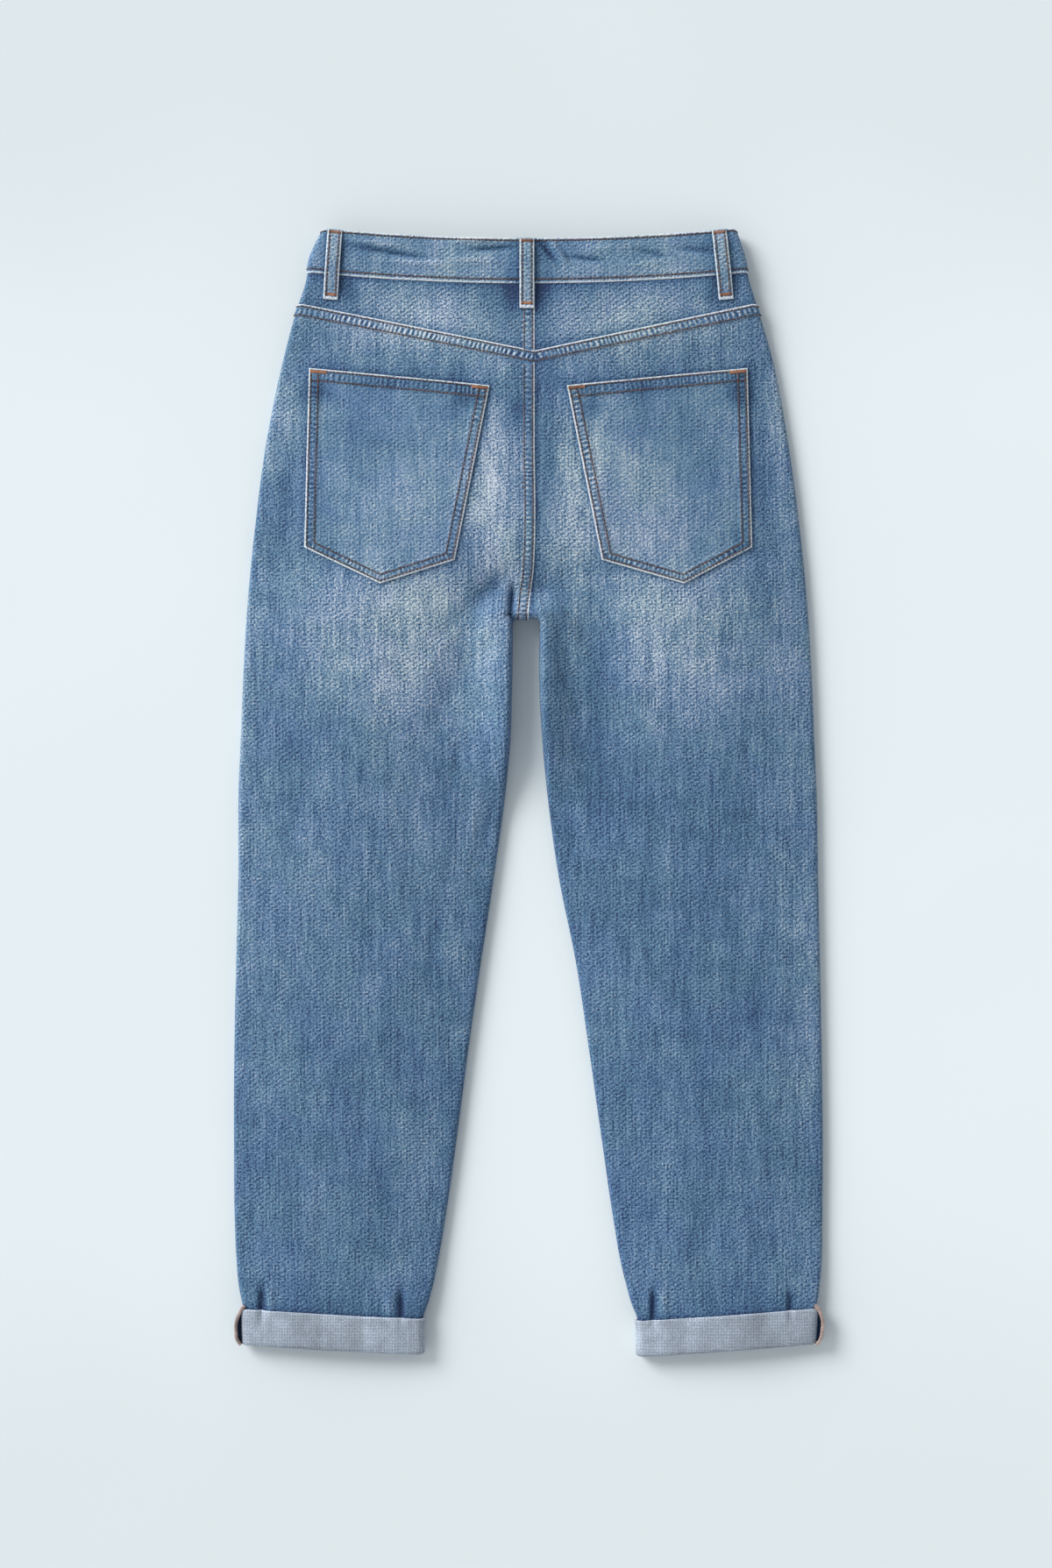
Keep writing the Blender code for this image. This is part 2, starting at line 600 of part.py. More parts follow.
def belt_loop(place):
    """A strip bartacked to the top of the band and below it, and standing a little clear between."""
    down = np.array([row.down for row in LOOP_ROWS], float)
    band = np.array([row.band for row in LOOP_ROWS], float)
    clear = np.array([row.clear for row in LOOP_ROWS], float)
    off = GAP + band * BAND_OUT + (1 - band) * place.raised + clear * LOOP_RISE
    centre = place.x_top + down / LOOP_LENGTH * (place.x_bottom - place.x_top)
    x = centre[:, None] + np.array([-0.5, 0, 0.5]) * LOOP_WIDTH
    y = waist_y(x, place.on_back) - LOOP_INSET - down[:, None]
    points, normals = layer(x, y, place.on_back)
    near = np.broadcast_to(off[:, None], x.shape)
    face, back = moved(points, normals, near + LOOP_WALL), moved(points, normals, near)
    return wall(place.name, face, back, DENIM_FADED)


# Pockets and cuffs


def pocket_cutter(side):
    """A tall five-sided block with the outline of a back pocket."""
    sign = SIDES[side]
    inner_top, inner_bottom, outer_bottom, outer_top = POCKET.values()
    corners = (inner_top, inner_bottom, POCKET_POINTS[side], outer_bottom, outer_top)
    shape = bmesh.new()
    face = shape.faces.new([shape.verts.new((sign * corner.x * MM, corner.y * MM, 0)) for corner in corners])
    risen = bmesh.ops.extrude_face_region(shape, geom=[face])["geom"]
    tops = [item for item in risen if isinstance(item, bmesh.types.BMVert)]
    bmesh.ops.translate(shape, verts=tops, vec=(0, 0, CUTTER_HEIGHT * MM))
    bmesh.ops.recalc_face_normals(shape, faces=shape.faces)
    mesh = bpy.data.meshes.new(f"pocket_cutter_{side}")
    shape.to_mesh(mesh)
    shape.free()
    block = bpy.data.objects.new(mesh.name, mesh)
    block.hide_render = True
    block.display_type = "WIRE"
    bpy.data.collections["cutters"].objects.link(block)
    return block


def back_pocket(side):
    """The patch pocket: the part of its panel's own face inside the pocket's outline, moved out."""
    points, normals, _, _ = back_leg_grid(side)
    rows = slice(len(FELL_ROWS), len(FELL_ROWS) + len(SEAT_ROWS))
    columns = slice(FOLD_STEPS + 1, FOLD_STEPS + 1 + len(PANEL_SHARES))
    points, normals = points[rows, columns], normals[rows, columns]
    face, back = moved(points, normals, GAP + WALL), moved(points, normals, GAP)
    patch = wall(f"pocket_back_{side}", face, back, DENIM_FADED)
    cut = patch.modifiers.new("outline", "BOOLEAN")
    cut.operation = "INTERSECT"
    cut.object = pocket_cutter(side)
    return patch


def front_pocket(side):
    """The facing that shows in a front pocket's opening, sewn in at the side seam, behind the front panel."""
    sign = SIDES[side]
    turn = np.radians(FACING_DEGREES)
    y_row = PANEL_TOP_Y - (SCOOP_DEPTH + FACING_REACH) * np.sin(turn)
    x_side = side_x(side, y_row) - sign * (FOLD + FACING_INSET)
    x_seam = side_x(side, SCOOP_Y) - sign * (FOLD + MARGIN + GAP)
    x_end = x_seam - sign * (SCOOP_WIDTH + FACING_REACH) * np.cos(turn)
    x = x_side[:, None] + np.array(FACING_SHARES) * (x_end - x_side)[:, None]
    y = y_row[:, None] + (1 - np.sin(turn))[:, None] * (waist_y(x, on_back=False) - WAIST_Y)
    points, normals = layer(x, y, up=False)
    behind = -WALL - GAP
    face, back = moved(points, normals, behind), moved(points, normals, behind - FACING_WALL)
    return wall(f"pocket_front_{side}", face, back, DENIM)


def cuff_ring(side, row):
    """Points once round the leg, at a row of the cuff's section."""
    sign = SIDES[side]
    y_side, y_inseam = CUFF_TOPS[side].side - row.down, CUFF_TOPS[side].inseam - row.down
    x_start = float(side_x(side, y_side)) - sign * FOLD
    x_end = float(inseam_x(side, y_inseam)) + sign * FOLD
    x, y = x_start + CUFF_SHARES * (x_end - x_start), y_side + CUFF_SHARES * (y_inseam - y_side)
    back, back_normals = layer(x, y, up=True)
    front, front_normals = layer(x[::-2], y[::-2], up=False)
    inner, inner_normals = turned_edge(x_end, y_inseam, -sign, 0, margin=None)
    outer, outer_normals = turned_edge(x_start, y_side, sign, 0, margin=None)
    points = np.concatenate([back, inner[1:-1], front, outer[-2:0:-1]])
    normals = np.concatenate([back_normals, inner_normals[1:-1], front_normals, outer_normals[-2:0:-1]])
    return points + normals * row.out


def cuff(side):
    """A turned-up hem: a ring round the leg whose lower edge hooks under the leg's end."""
    rings = np.array([cuff_ring(side, row) for row in CUFF_SECTION])
    index = np.arange(rings.shape[0] * rings.shape[1]).reshape(rings.shape[:2])
    around, along = np.roll(index, -1, axis=1), np.roll(index, -1, axis=0)
    both = np.roll(along, -1, axis=1)
    faces = np.stack([index, around, both, along], -1).reshape(-1, 4)
    return solid(f"cuff_{side}", rings.reshape(-1, 3), faces, DENIM_REVERSE)


# Fly


def zip_fastener():
    """The closed zip behind the fly: two tapes, the chain along them and the slider at its top."""
    top = PANEL_TOP_Y - FRONT_DIP
    columns = (-TAPE_HALF, -SLIDER_HALF, -CHAIN_HALF, CHAIN_HALF, SLIDER_HALF, TAPE_HALF)
    offset, down = np.meshgrid(columns, ZIP_ROWS)
    points, normals = layer(CENTRE_FRONT + offset, top - down, up=False)
    slider = (np.abs(offset) <= SLIDER_HALF) & (down >= SLIDER_TOP) & (down <= SLIDER_END)
    raised = slider | (np.abs(offset) <= CHAIN_HALF)
    near = np.full(offset.shape, WALL + GAP)
    far = near + TAPE + CHAIN_RISE * raised
    return wall("zip", moved(points, normals, -far), moved(points, normals, -near), ZIP_TAPE)


def fly_shield():
    """The shield behind the zip, rounded off at its lower end."""
    down = np.array(FLY_ROWS)
    rounding = np.clip((down - FLY_ROUND) / (FLY_LENGTH - FLY_ROUND), 0, 1)
    width = np.sqrt(1 - (1 - FLY_END_SHARE**2) * rounding**2)
    x = CENTRE_FRONT + FLY_RIGHT - np.array(FLY_SHARES) * (FLY_RIGHT + FLY_LEFT) * width[:, None]
    y = PANEL_TOP_Y - FRONT_DIP - down
    points, normals = layer(x, y[:, None], up=False)
    near = WALL + GAP + TAPE + CHAIN_RISE + GAP
    return wall("fly", moved(points, normals, -near), moved(points, normals, -near - WALL), DENIM)


def button():
    """The shank button on the band's over end, its dished head on the surface below."""
    mesh = bpy.data.meshes.new("button")
    edges = [(k, k + 1) for k in range(len(BUTTON_PROFILE) - 1)]
    mesh.from_pydata([(point.radius * MM, 0, point.z * MM) for point in BUTTON_PROFILE], edges, [])
    mesh.materials.append(material(METAL))
    made = bpy.data.objects.new("button", mesh)
    made.location = (CENTRE_FRONT * MM, (WAIST_Y - FRONT_DIP - BAND_DEPTH / 2) * MM, 0)
    bpy.data.collections["mom_jeans"].objects.link(made)
    turn = made.modifiers.new("turn", "SCREW")
    turn.steps = turn.render_steps = BUTTON_SIDES
    turn.use_merge_vertices = True
    turn.merge_threshold = 1e-5
    turn.use_normal_calculate = True
    return made


def clear_scene():
    for old in list(bpy.data.objects):
        bpy.data.objects.remove(old)
    for name in ("mom_jeans", "cutters"):
        bpy.context.scene.collection.children.link(bpy.data.collections.new(name))


def main():
    clear_scene()
    for side in SIDES:
        back_leg(side)
        yoke(side)
        back_pocket(side)
        front_leg(side)
        front_pocket(side)
        cuff(side)
    waistband()
    for place in LOOPS:
        belt_loop(place)
    fly_shield()
    zip_fastener()
    button()


main()
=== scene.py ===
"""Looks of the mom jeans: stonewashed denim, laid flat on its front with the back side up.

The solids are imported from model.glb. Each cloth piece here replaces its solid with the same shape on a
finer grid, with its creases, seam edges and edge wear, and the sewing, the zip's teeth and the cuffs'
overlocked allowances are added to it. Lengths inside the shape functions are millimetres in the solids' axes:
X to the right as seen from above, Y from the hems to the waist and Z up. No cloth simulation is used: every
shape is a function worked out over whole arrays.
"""

import math
from collections import namedtuple

import bmesh
import bpy
import numpy as np
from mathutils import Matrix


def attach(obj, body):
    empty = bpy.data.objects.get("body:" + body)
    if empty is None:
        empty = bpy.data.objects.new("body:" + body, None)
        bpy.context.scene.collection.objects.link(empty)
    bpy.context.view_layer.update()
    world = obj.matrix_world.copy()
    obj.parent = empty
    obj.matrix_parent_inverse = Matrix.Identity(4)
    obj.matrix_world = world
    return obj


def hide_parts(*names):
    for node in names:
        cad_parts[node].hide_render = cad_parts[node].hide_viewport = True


bl_info = {
    "name": "Mom Jeans Laid Flat",
    "version": (1, 0, 0),
    "blender": (4, 5, 0),
    "location": "3D View > Sidebar > Mom Jeans",
    "description": "Dresses the packed mom jeans in stonewashed denim, with their sewing, zip and button",
    "category": "Object",
}

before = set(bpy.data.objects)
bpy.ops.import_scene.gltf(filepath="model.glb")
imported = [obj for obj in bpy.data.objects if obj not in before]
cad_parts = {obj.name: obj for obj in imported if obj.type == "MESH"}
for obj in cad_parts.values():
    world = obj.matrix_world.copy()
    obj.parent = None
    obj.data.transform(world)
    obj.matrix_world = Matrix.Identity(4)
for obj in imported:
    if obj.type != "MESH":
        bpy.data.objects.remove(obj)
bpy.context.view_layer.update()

MM = 0.001
SIDES = {"left": -1, "right": 1}


def rows_of(kind, *rows):
    """A table's rows, each a named tuple made from its bare values."""
    return tuple(kind(*row) for row in rows)


# Cloth and seams, as in the solids
WALL = 1.6
GAP = 0.3
FOLD = 4.5
FOLD_STEPS = 9
MARGIN = 2.0
FELL_WIDTH = 10.6
FELL_STOP = 3  # steps of the crotch's fold that the centre seam's edge ends short of

# Waist
WAIST_Y = 483.0
WAIST_HALF = 184.0
BAND_DEPTH = 39.0
BAND_OUT, BAND_IN = 0.8, 1.6
BACK_DIP, BACK_DIP_POWER = 10.0, 2.0
FRONT_DIP, FRONT_DIP_POWER = 20.0, 2.0
PANEL_TOP_Y = WAIST_Y - BAND_DEPTH - GAP
OVERLAP, UNDERLAP = 18.0, 35.0
UNDERLAP_RAISED_X, UNDERLAP_LEVEL_X = 28.0, 52.0

# Seams down the middle
CENTRE_FRONT = -1.5
CROTCH_Y = 148.3
CROTCH_CORNER = 5.0
CROTCH_BLEND = 62.0
BUNCH_RISE, BUNCH_WIDTH, BUNCH_LOW_Y = 17.0, 26.0, -30.0
BUNCH_GROWS, BUNCH_ENDS = 90, 26  # over what length
YOKE_SIDE_Y, YOKE_CENTRE_Y = 416.5, 375.5
CROTCH_SIDE_Y = (150.0, 126.0)

# Front pockets and fly
SCOOP_WIDTH, SCOOP_DEPTH = 85.0, 80.0
SCOOP_Y = PANEL_TOP_Y - SCOOP_DEPTH
FACING_REACH = 18.0
FACING_INSET = 0.5
FACING_WALL = 1.2
ZIP_LENGTH, TAPE_HALF, SLIDER_HALF = 150.0, 12.0, 4.5
TAPE, CHAIN_RISE = 1.2, 0.7
SLIDER_TOP, SLIDER_END = 1.5, 12.0
FLY_LENGTH, FLY_LEFT, FLY_RIGHT = 168.0, 24.0, 18.0
FLY_ROUND, FLY_END_SHARE = 118.0, 0.28
FLY_TOP_Y = PANEL_TOP_Y - FRONT_DIP

# Cuffs and belt loops
CUFF_DEPTH = 31.0
HEM_IN_CUFF = 28.0
CUFF_TURN = 1.2
LOOP_WIDTH, LOOP_LENGTH, LOOP_WALL = 12.5, 60.0, 1.8
LOOP_RISE, PRESSED_LOOP_RISE = 1.5, 0.4
LOOP_INSET = 0.5
FRONT_LIFT = 0.75  # how far the front's face stands off the surface, which its stitches reach down to
FRONT_WALL = 1.2

Outline = namedtuple("Outline", "y left_side left_inseam right_inseam right_side")
OUTLINE = rows_of(
    Outline,
    (483, -176.0, -13.0, 9.8, 177.5),
    (453, -187.8, -13.0, 9.8, 186.2),
    (441, -189.6, -13.0, 9.8, 188.5),
    (408, -200.0, -13.0, 9.8, 198.8),
    (363, -212.0, -13.0, 9.8, 211.6),
    (303, -224.2, -13.0, 9.8, 222.5),
    (228, -234.3, -13.0, 9.8, 232.7),
    (153, -241.5, -13.0, 9.8, 240.0),
    (93, -244.8, -13.6, 9.3, 243.5),
    (40, -247.0, -15.4, 12.2, 245.6),
    (3, -248.5, -19.0, 15.8, 247.3),
    (-72, -248.7, -29.2, 26.0, 248.7),
    (-147, -250.7, -40.6, 41.0, 250.3),
    (-222, -252.2, -51.4, 52.2, 251.7),
    (-297, -252.5, -61.2, 62.8, 252.7),
    (-372, -251.7, -72.0, 73.8, 252.3),
    (-402, -250.3, -77.2, 79.0, 251.7),
    (-425, -247.9, -82.0, 84.6, 249.8),
    (-440, -244.8, -86.4, 89.0, 247.2),
    (-448, -243.6, -89.4, 92.4, 245.8),
    (-484, -243.0, -91.2, 95.0, 243.8),
)

# Height of the lower layer's outer face, of a folded edge's top, and of the upper layer midway
Level = namedtuple("Level", "y under edge crown")
LEVELS = rows_of(
    Level,
    (483, 4.5, 14.5, 18.0),
    (441, 4.5, 14.5, 19.5),
    (424, 4.4, 13.8, 20.5),
    (398, 2.8, 12.0, 21.5),
    (368, 0.6, 9.8, 22.5),
    (350, 0.0, 9.2, 23.5),
    (300, 0.0, 9.0, 24.5),
    (230, 0.0, 9.0, 25.0),
    (150, 0.0, 9.0, 22.0),
    (80, 0.0, 9.0, 19.0),
    (0, 0.0, 9.0, 17.0),
    (-150, 0.0, 9.0, 15.5),
    (-300, 0.0, 9.0, 14.5),
    (-395, 0.0, 9.4, 14.0),
    (-430, 1.8, 11.2, 14.8),
    (-445, 3.0, 12.3, 15.7),
    (-484, 3.0, 12.3, 15.7),
)

Seam = namedtuple("Seam", "y x")
CENTRE_BACK = rows_of(
    Seam,
    (484, 5.0),
    (300, 5.0),
    (205, 5.0),
    (190, 4.2),
    (168, 1.4),
    (148, -0.5),
)

# The solids' large ridges and troughs
Ridge = namedtuple("Ridge", "x y degrees half_length half_width rise")
RIDGES = rows_of(
    Ridge,
    (-27, 150, 55, 42, 11, 3.0),
    (-42, 163, 46, 40, 11, -2.2),
    (21, 146, 111, 52, 11, -2.6),
    (44, 118, 118, 60, 14, 1.8),
    (-62, 92, 62, 60, 16, -1.6),
    (96, 68, 100, 75, 20, 1.2),
    (-140, 60, 80, 90, 24, 1.2),
    (-150, -118, 12, 60, 22, -1.4),
    (168, -104, 170, 64, 24, -1.4),
    (-176, -396, 84, 52, 16, -1.4),
    (150, -398, 92, 50, 15, -1.4),
)

# Finer creases, which the solids don't have
CREASES = rows_of(
    Ridge,
    (-118, 461, -10, 38, 3.2, -3.2),
    (-130, 469, -6, 26, 3, 1.5),
    (-92, 452, -4, 34, 4, 1.6),
    (-30, 464, 3, 24, 3, -3.2),
    (-48, 471, 4, 24, 3, 1.4),
    (-44, 454, -3, 24, 3.4, 1.3),
    (17, 461, -50, 17, 2.6, -3.0),
    (25, 464, -52, 16, 2.6, 1.9),
    (32, 458, -48, 13, 2.4, -1.6),
    (50, 455, -6, 18, 2.8, -2.5),
    (70, 465, 6, 26, 4, 0.9),
    (106, 460, -14, 17, 2.8, -2.0),
    (100, 451, 4, 22, 3.2, 1.0),
    (144, 463, -5, 20, 3.6, -2.1),
    (-35, -38, 81, 46, 5, -0.9),
    (-48, -30, 81, 50, 6, 0.8),
    (-62, 20, 74, 44, 7, -0.7),
    (34, -30, 99, 44, 5, -0.7),
    (46, -24, 98, 46, 6, 0.7),
    (33, 92, 112, 40, 5, -1.0),
    (-70, 128, 52, 46, 6, 0.8),
    (70, 142, 118, 44, 6, -0.7),
    (-228, -438, 88, 20, 3.4, -3.4),
    (-220, -436, 94, 16, 4, 1.2),
    (-109, -440, 92, 18, 3.6, -3.0),
    (-118, -438, 86, 15, 5, 1.2),
    (107, -440, 88, 19, 3.6, -3.2),
    (116, -438, 94, 15, 4, 1.2),
    (224, -438, 91, 16, 3.4, -2.6),
    (-168, -436, 80, 10, 6, -0.6),
    (170, -436, 98, 12, 6, -0.7),
    (-196, 10, 84, 70, 8, -0.5),
    (-118, -40, 97, 85, 9, 0.6),
    (-80, -130, 80, 70, 8, -0.6),
    (-214, -190, 93, 90, 9, 0.5),
    (-140, -262, 86, 66, 9, -0.6),
    (-186, -330, 88, 60, 8, 0.5),
    (190, 18, 95, 80, 8, -0.5),
    (120, -52, 84, 80, 9, 0.6),
    (84, -140, 99, 66, 8, -0.6),
    (212, -214, 87, 80, 9, 0.5),
    (150, -250, 95, 72, 9, -0.6),
    (196, -322, 91, 56, 8, 0.5),
    (-205, 250, 82, 60, 8, -0.5),
    (207, 246, 99, 66, 8, -0.5),
)

# Where the legs' inner folds run on up into the seat, beside the centre seam
CROTCH_CREASES = rows_of(
    Ridge,
    (-14.4, 159, 84, 20, 3.4, -6.5),
    (-21, 168, 74, 16, 5.5, 1.2),
    (30, 160, 118, 22, 4, -1.6),
)

# Creases of the front, which lie pressed against the surface: they only lift off it
FRONT_CREASES = rows_of(
    Ridge,
    (-60, 118, 38, 46, 7, 0.9),
    (58, 112, 140, 50, 7, 0.9),
    (-96, 84, 30, 52, 8, 0.6),
    (98, 76, 152, 50, 8, 0.7),
    (-150, -40, 84, 80, 9, 0.6),
    (146, -64, 97, 76, 9, 0.6),
    (-128, -220, 94, 74, 8, 0.5),
    (160, -236, 86, 70, 8, 0.5),
    (-176, -360, 88, 48, 7, 0.6),
    (128, -366, 95, 44, 7, 0.6),
)

CuffTop = namedtuple("CuffTop", "side inseam")
CUFF_TOPS = {"left": CuffTop(-442.5, -450.5), "right": CuffTop(-442.0, -452.3)}

# A cuff's section, once round: down from its upper edge, and out from the leg's face
CuffPoint = namedtuple("CuffPoint", "down out")
CUFF_SECTION = rows_of(
    CuffPoint,
    (0, GAP + 0.4),
    (0, 2.1),
    (CUFF_TURN, 2.7),
    (CUFF_DEPTH / 2, 3.0),
    (CUFF_DEPTH - 2.0, 2.7),
    (CUFF_DEPTH - 0.4, 1.3),
    (CUFF_DEPTH, 0.1),
    (CUFF_DEPTH - 0.6, -WALL),
    (HEM_IN_CUFF + GAP, -WALL),
    (HEM_IN_CUFF + GAP, GAP),
    (CUFF_DEPTH / 2, GAP),
    (CUFF_TURN, GAP),
)

LoopPlace = namedtuple("LoopPlace", "name on_back x_top x_bottom raised")
LOOPS = rows_of(
    LoopPlace,
    ("belt_loop_back", True, -1.1, -1.1, 0.9),
    ("belt_loop_side_left", True, -164.9, -169.0, 0),
    ("belt_loop_side_right", True, 163.0, 169.2, 0),
    ("belt_loop_front_left", False, -98.0, -96.0, 0),
    ("belt_loop_front_right", False, 96.0, 94.0, 0),
)
LoopRow = namedtuple("LoopRow", "y band clear")
LOOP_ROWS = rows_of(
    LoopRow,
    (0, 1, 0),
    (4, 1, 0),
    (9, 1, 0.73),
    (20, 1, 1),
    (31, 1, 1),
    (40, 1, 0.8),
    (48, 0.6, 0.5),
    (55, 0, 0),
    (LOOP_LENGTH, 0, 0),
)

# A back pocket's corners, as distances from the middle towards the side
Corner = namedtuple("Corner", "x y")
POCKET = {
    "inner_top": Corner(32.8, 346.4),
    "inner_bottom": Corner(62.6, 197.9),
    "outer_bottom": Corner(191.5, 209.3),
    "outer_top": Corner(187.6, 362.8),
}
POCKET_POINTS = {"left": Corner(126.4, 177.8), "right": Corner(132.8, 177.8)}

ButtonPoint = namedtuple("ButtonPoint", "radius z")
BUTTON_PROFILE = rows_of(
    ButtonPoint,
    (0, 3.4),
    (4.4, 3.4),
    (4.5, 3.2),
    (4.5, 2.6),
    (4.8, 2.45),
    (7.9, 2.3),
    (8.35, 2.1),
    (8.5, 1.7),
    (8.45, 0.9),
    (8.1, 0.3),
    (7.6, 0.06),
    (7.1, 0),
    (6.6, 0.1),
    (6.2, 0.5),
    (5.8, 0.72),
    (3.2, 0.8),
    (2.9, 0.68),
    (2.5, 0.66),
    (2.2, 0.8),
    (0, 0.82),
)

# Stitch rows: how far in from a piece's edge the two rows of each kind of seam are
FELL_STITCHES = (1.9, 9.0)
BAND_STITCHES = (2.3, 3.5)
LOOP_STITCH = 2.3
POCKET_STITCHES = (1.9, 9.4)
POCKET_STITCH_TAPER = 2.2  # the inner row comes this much closer to the edge at the pocket's point
POCKET_HEM_STITCHES = (1.8, 10.2)
SCOOP_STITCHES = (2.0, 8.5)
FLY_STITCHES = (34.0, 28.0)  # out from the centre front
ROPE_PITCH = 4.1
BARTACK_SIZE, OVERLOCK_SIZE = (0.75, 2.4, 0.9), (1.2, 3.3, 0.95)  # pitch, length and thickness

# Where the back is paler (positive) or darker, by a share of the way from indigo to white: mostly the wash,
# but the dark patches in the folds beside the crotch, in its slit, at the belt loops and above the cuffs are
# painted shade
Patch = namedtuple("Patch", "x y half_x half_y amount")
BACK_WASH_AND_SHADE = rows_of(
    Patch,
    (-104, 120, 82, 62, 0.24),
    (108, 116, 84, 70, 0.2),
    (-198, 130, 36, 60, 0.17),
    (-30, 245, 22, 85, 0.37),
    (36, 236, 24, 88, 0.3),
    (150, 414, 20, 12, 0.09),
    (-50, 410, 24, 14, -0.05),
    (50, 410, 26, 14, -0.07),
    (-133, 3, 70, 16, 0.05),
    (-108, 255, 62, 60, 0.1),
    (122, 248, 62, 60, 0.12),
    (-64, 404, 72, 20, 0.12),
    (78, 404, 76, 20, 0.13),
    (-6, 385, 40, 16, 0.08),
    (-105, 416, 62, 22, 0.22),
    (100, 418, 62, 22, 0.18),
    (0, 440, 26, 60, -0.12),
    (-100, 166, 80, 16, 0.18),
    (124, 160, 88, 16, 0.12),
    (-214, 330, 16, 46, 0.16),
    (-178, 318, 14, 40, 0.13),
    (-95, 388, 66, 16, 0.16),
    (95, 388, 66, 16, 0.16),
    (-118, 436, 36, 9, 0.08),
    (118, 436, 36, 9, 0.08),
    (-24, 410, 20, 20, -0.08),
    # Painted shadow beside the belt loops on the band, with some kept indigo
    (-150, 466, 12, 14, -0.14),
    (152, 466, 14, 14, -0.16),
    (6, 464, 26, 16, -0.16),
    (216, 330, 13, 46, 0.2),
    (60, 84, 17, 84, -0.24),
    (-100, 182, 60, 7, 0.12),
    (110, 180, 66, 7, 0.12),
    # Painted shade in the fold left of the crotch
    (-30, 170, 14, 18, -0.34),
    (-38, 215, 12, 30, -0.1),
    # Painted shade in the fold right of the crotch
    (28, 168, 16, 24, -0.22),
    (-206, 70, 18, 170, -0.15),
    (-246, 40, 8, 190, 0.14),
    (238, 120, 14, 120, 0.1),
    (72, -20, 26, 30, -0.09),
    (-92, -330, 14, 110, 0.1),
    (-122, 300, 28, 34, -0.09),
    (62, 310, 22, 44, 0.16),
    (88, 272, 30, 30, 0.08),
    (150, 270, 20, 40, -0.1),
    (242, -250, 16, 200, 0.1),
    (-9, 327, 9, 18, -0.34),
    # Painted shade beside the belt loops' lower ends, with some kept indigo
    (-154, 427, 8, 12, -0.36),
    (-14, 430, 8, 14, -0.34),
    (12, 427, 9, 14, -0.3),
    (157, 428, 7, 12, -0.26),
    (-56, 334, 12, 9, -0.3),
    (-179, 343, 11, 9, -0.36),
    (55, 329, 10, 12, -0.3),
    (178, 340, 11, 10, -0.32),
    (-84, 349, 60, 7, -0.12),
    (90, 347, 60, 7, -0.1),
    (18, 285, 7, 50, -0.14),
    # Painted shade in the troughs beside the crotch
    (-42, 160, 20, 20, -0.12),
    (25, 140, 9, 42, -0.12),
    (-26, 148, 8, 22, 0.06),
    (-205, -60, 22, 120, 0.07),
    (206, -40, 20, 120, 0.05),
    (-100, -10, 60, 40, -0.04),
    (118, -10, 80, 70, -0.08),
    (-165, -330, 110, 170, -0.07),
    (160, -280, 110, 230, -0.08),
    # Painted shadow on the legs just above the cuffs
    (-165, -440, 80, 14, -0.07),
    (165, -440, 80, 14, -0.07),
    # Painted shade in the creases' troughs above the cuffs
    (-228, -436, 2.6, 13, -0.3),
    (-109, -438, 2.6, 12, -0.26),
    (107, -438, 2.6, 12, -0.28),
    (224, -437, 2.6, 11, -0.22),
    # Painted shade in the slit where the left leg's fold runs up into the seat
    (-14.2, 157, 2.4, 16, -0.6),
    (118, 308, 42, 28, -0.1),
    (84, 212, 30, 22, 0.12),
    (-150, 318, 26, 30, -0.07),
    (-82, 262, 30, 34, 0.06),
)
FRONT_WASH_AND_SHADE = rows_of(
    Patch,
    (-120, 130, 60, 130, 0.16),
    (120, 130, 60, 130, 0.16),
    (-130, -70, 48, 70, 0.1),
    (130, -70, 48, 70, 0.1),
    (-30, 330, 20, 90, -0.06),
    (30, 330, 20, 90, -0.04),
    # Painted shadow on the legs just above the cuffs
    (-170, -440, 80, 14, -0.06),
    (170, -440, 80, 14, -0.06),
)

ShownCut = namedtuple("ShownCut", "width length area")


# What a user would change


def colour_setting(name, description, default):
    """A colour that a user would change."""
    return bpy.props.FloatVectorProperty(
        name=name, description=description, default=default, subtype="COLOR", min=0, max=1
    )


def length_setting(name, description, default, smallest, largest):
    """A length in metres that a user would change."""
    return bpy.props.FloatProperty(
        name=name,
        description=description,
        default=default,
        min=smallest,
        max=largest,
        unit="LENGTH",
        precision=4,
    )


class DenimSettings(bpy.types.PropertyGroup):
    """Colours and weave of the denim."""

    deep: colour_setting("Deep indigo", "Colour of the least washed yarn", (0.02, 0.042, 0.11))
    mid: colour_setting("Washed indigo", "Usual colour of the right side", (0.099, 0.204, 0.345))
    pale: colour_setting("Faded indigo", "Colour where the wash has faded the cloth", (0.252, 0.335, 0.44))
    worn: colour_setting(
        "Worn edge", "Colour of edges that are rubbed down to the undyed yarn", (0.62, 0.67, 0.73)
    )
    reverse: colour_setting("Reverse side", "Usual colour of the pale inner side", (0.32, 0.365, 0.435))
    twill_pitch: length_setting(
        "Twill pitch", "Distance between two diagonals of the twill, across the leg", 0.0066, 0.001, 0.02
    )


class SewingSettings(bpy.types.PropertyGroup):
    """Thread and stitches."""

    pitch: length_setting("Stitch pitch", "Distance from one topstitch to the next", 0.0032, 0.002, 0.008)
    length: length_setting(
        "Stitch length", "Length of the thread that shows in one topstitch", 0.0028, 0.001, 0.008
    )
    thickness: length_setting(
        "Thread thickness", "Diameter of the topstitching thread", 0.00125, 0.0003, 0.002
    )
    thread: colour_setting("Thread", "Colour of the topstitching", (0.105, 0.056, 0.046))
    bartack: colour_setting(
        "Bartacks", "Colour of the bartacks at pocket corners and belt loops", (0.36, 0.155, 0.08)
    )


